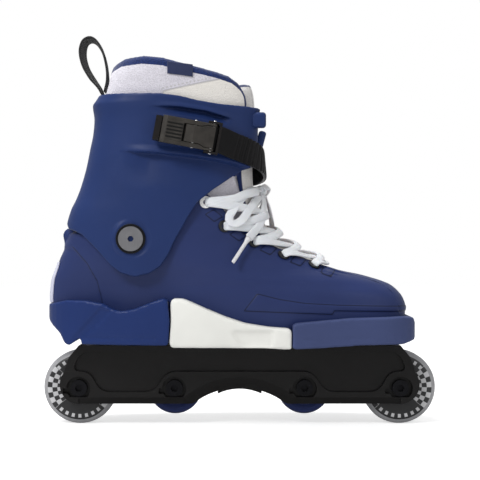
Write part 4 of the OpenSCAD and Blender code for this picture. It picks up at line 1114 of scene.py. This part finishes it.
AXLE_Z = 28.5
GREY_TYRE = srgb(158, 158, 161)
PRINT_BLACK = srgb(30, 30, 32)
PRINT_GREY = srgb(196, 196, 198)
for name, x in (("rear_tyre", -124), ("front_tyre", 124)):
    dress([name], wheel_look(f"{name}_print", x, AXLE_Z, GREY_TYRE, 0.0251, PRINT_BLACK, PRINT_GREY))
NAVY_TYRE = srgb(38, 48, 92)
navy_urethane = plastic("navy_urethane", NAVY_TYRE, 0.34, 1400, 0.1, scuff=0.3)
dress(["rear_inner_tyre", "front_inner_tyre"], navy_urethane)

# ---------------- surroundings

floor_mesh = bpy.data.meshes.new("floor")
floor_mesh.from_pydata([(-3, -3, 0), (3, -3, 0), (3, 3, 0), (-3, 3, 0)], [], [(0, 1, 2, 3)])
floor = bpy.data.objects.new("floor", floor_mesh)
bpy.context.collection.objects.link(floor)
floor_skin = Look("floor", Roughness=0.9, Specular_IOR_Level=0.1)
floor_skin.shader.inputs["Base Color"].default_value = (0.72, 0.72, 0.72, 1)
floor_skin.shader.inputs["Emission Color"].default_value = (1, 1, 1, 1)
floor_seen = floor_skin.node("ShaderNodeLightPath", {}).outputs["Is Camera Ray"]
floor_glow = floor_skin.ramp(floor_seen, 0, 1, 0, 0.62)
floor_skin.tree.links.new(floor_glow, floor_skin.shader.inputs["Emission Strength"])
floor_mesh.materials.append(floor_skin.material)

world = bpy.data.worlds.new("studio")
bpy.context.scene.world = world
world.use_nodes = True
sky = world.node_tree.nodes["Background"]
sky.inputs["Color"].default_value = (1, 1, 1, 1)
seen = world.node_tree.nodes.new("ShaderNodeLightPath")
strength = world.node_tree.nodes.new("ShaderNodeMapRange")
strength.inputs["To Min"].default_value = 0.5
strength.inputs["To Max"].default_value = 1.0
world.node_tree.links.new(seen.outputs["Is Camera Ray"], strength.inputs["Value"])
world.node_tree.links.new(strength.outputs["Result"], sky.inputs["Strength"])
area_light("key", (-0.7, -0.9, 1.0), (0, 0, 0.15), (0.35, 0.35), 10)
area_light("fill", (0.9, -0.8, 0.6), (0, 0, 0.12), (0.6, 0.6), 1.5)
area_light("top", (-0.3, 0.05, 1.2), (-0.05, 0, 0.1), (0.35, 0.35), 9)
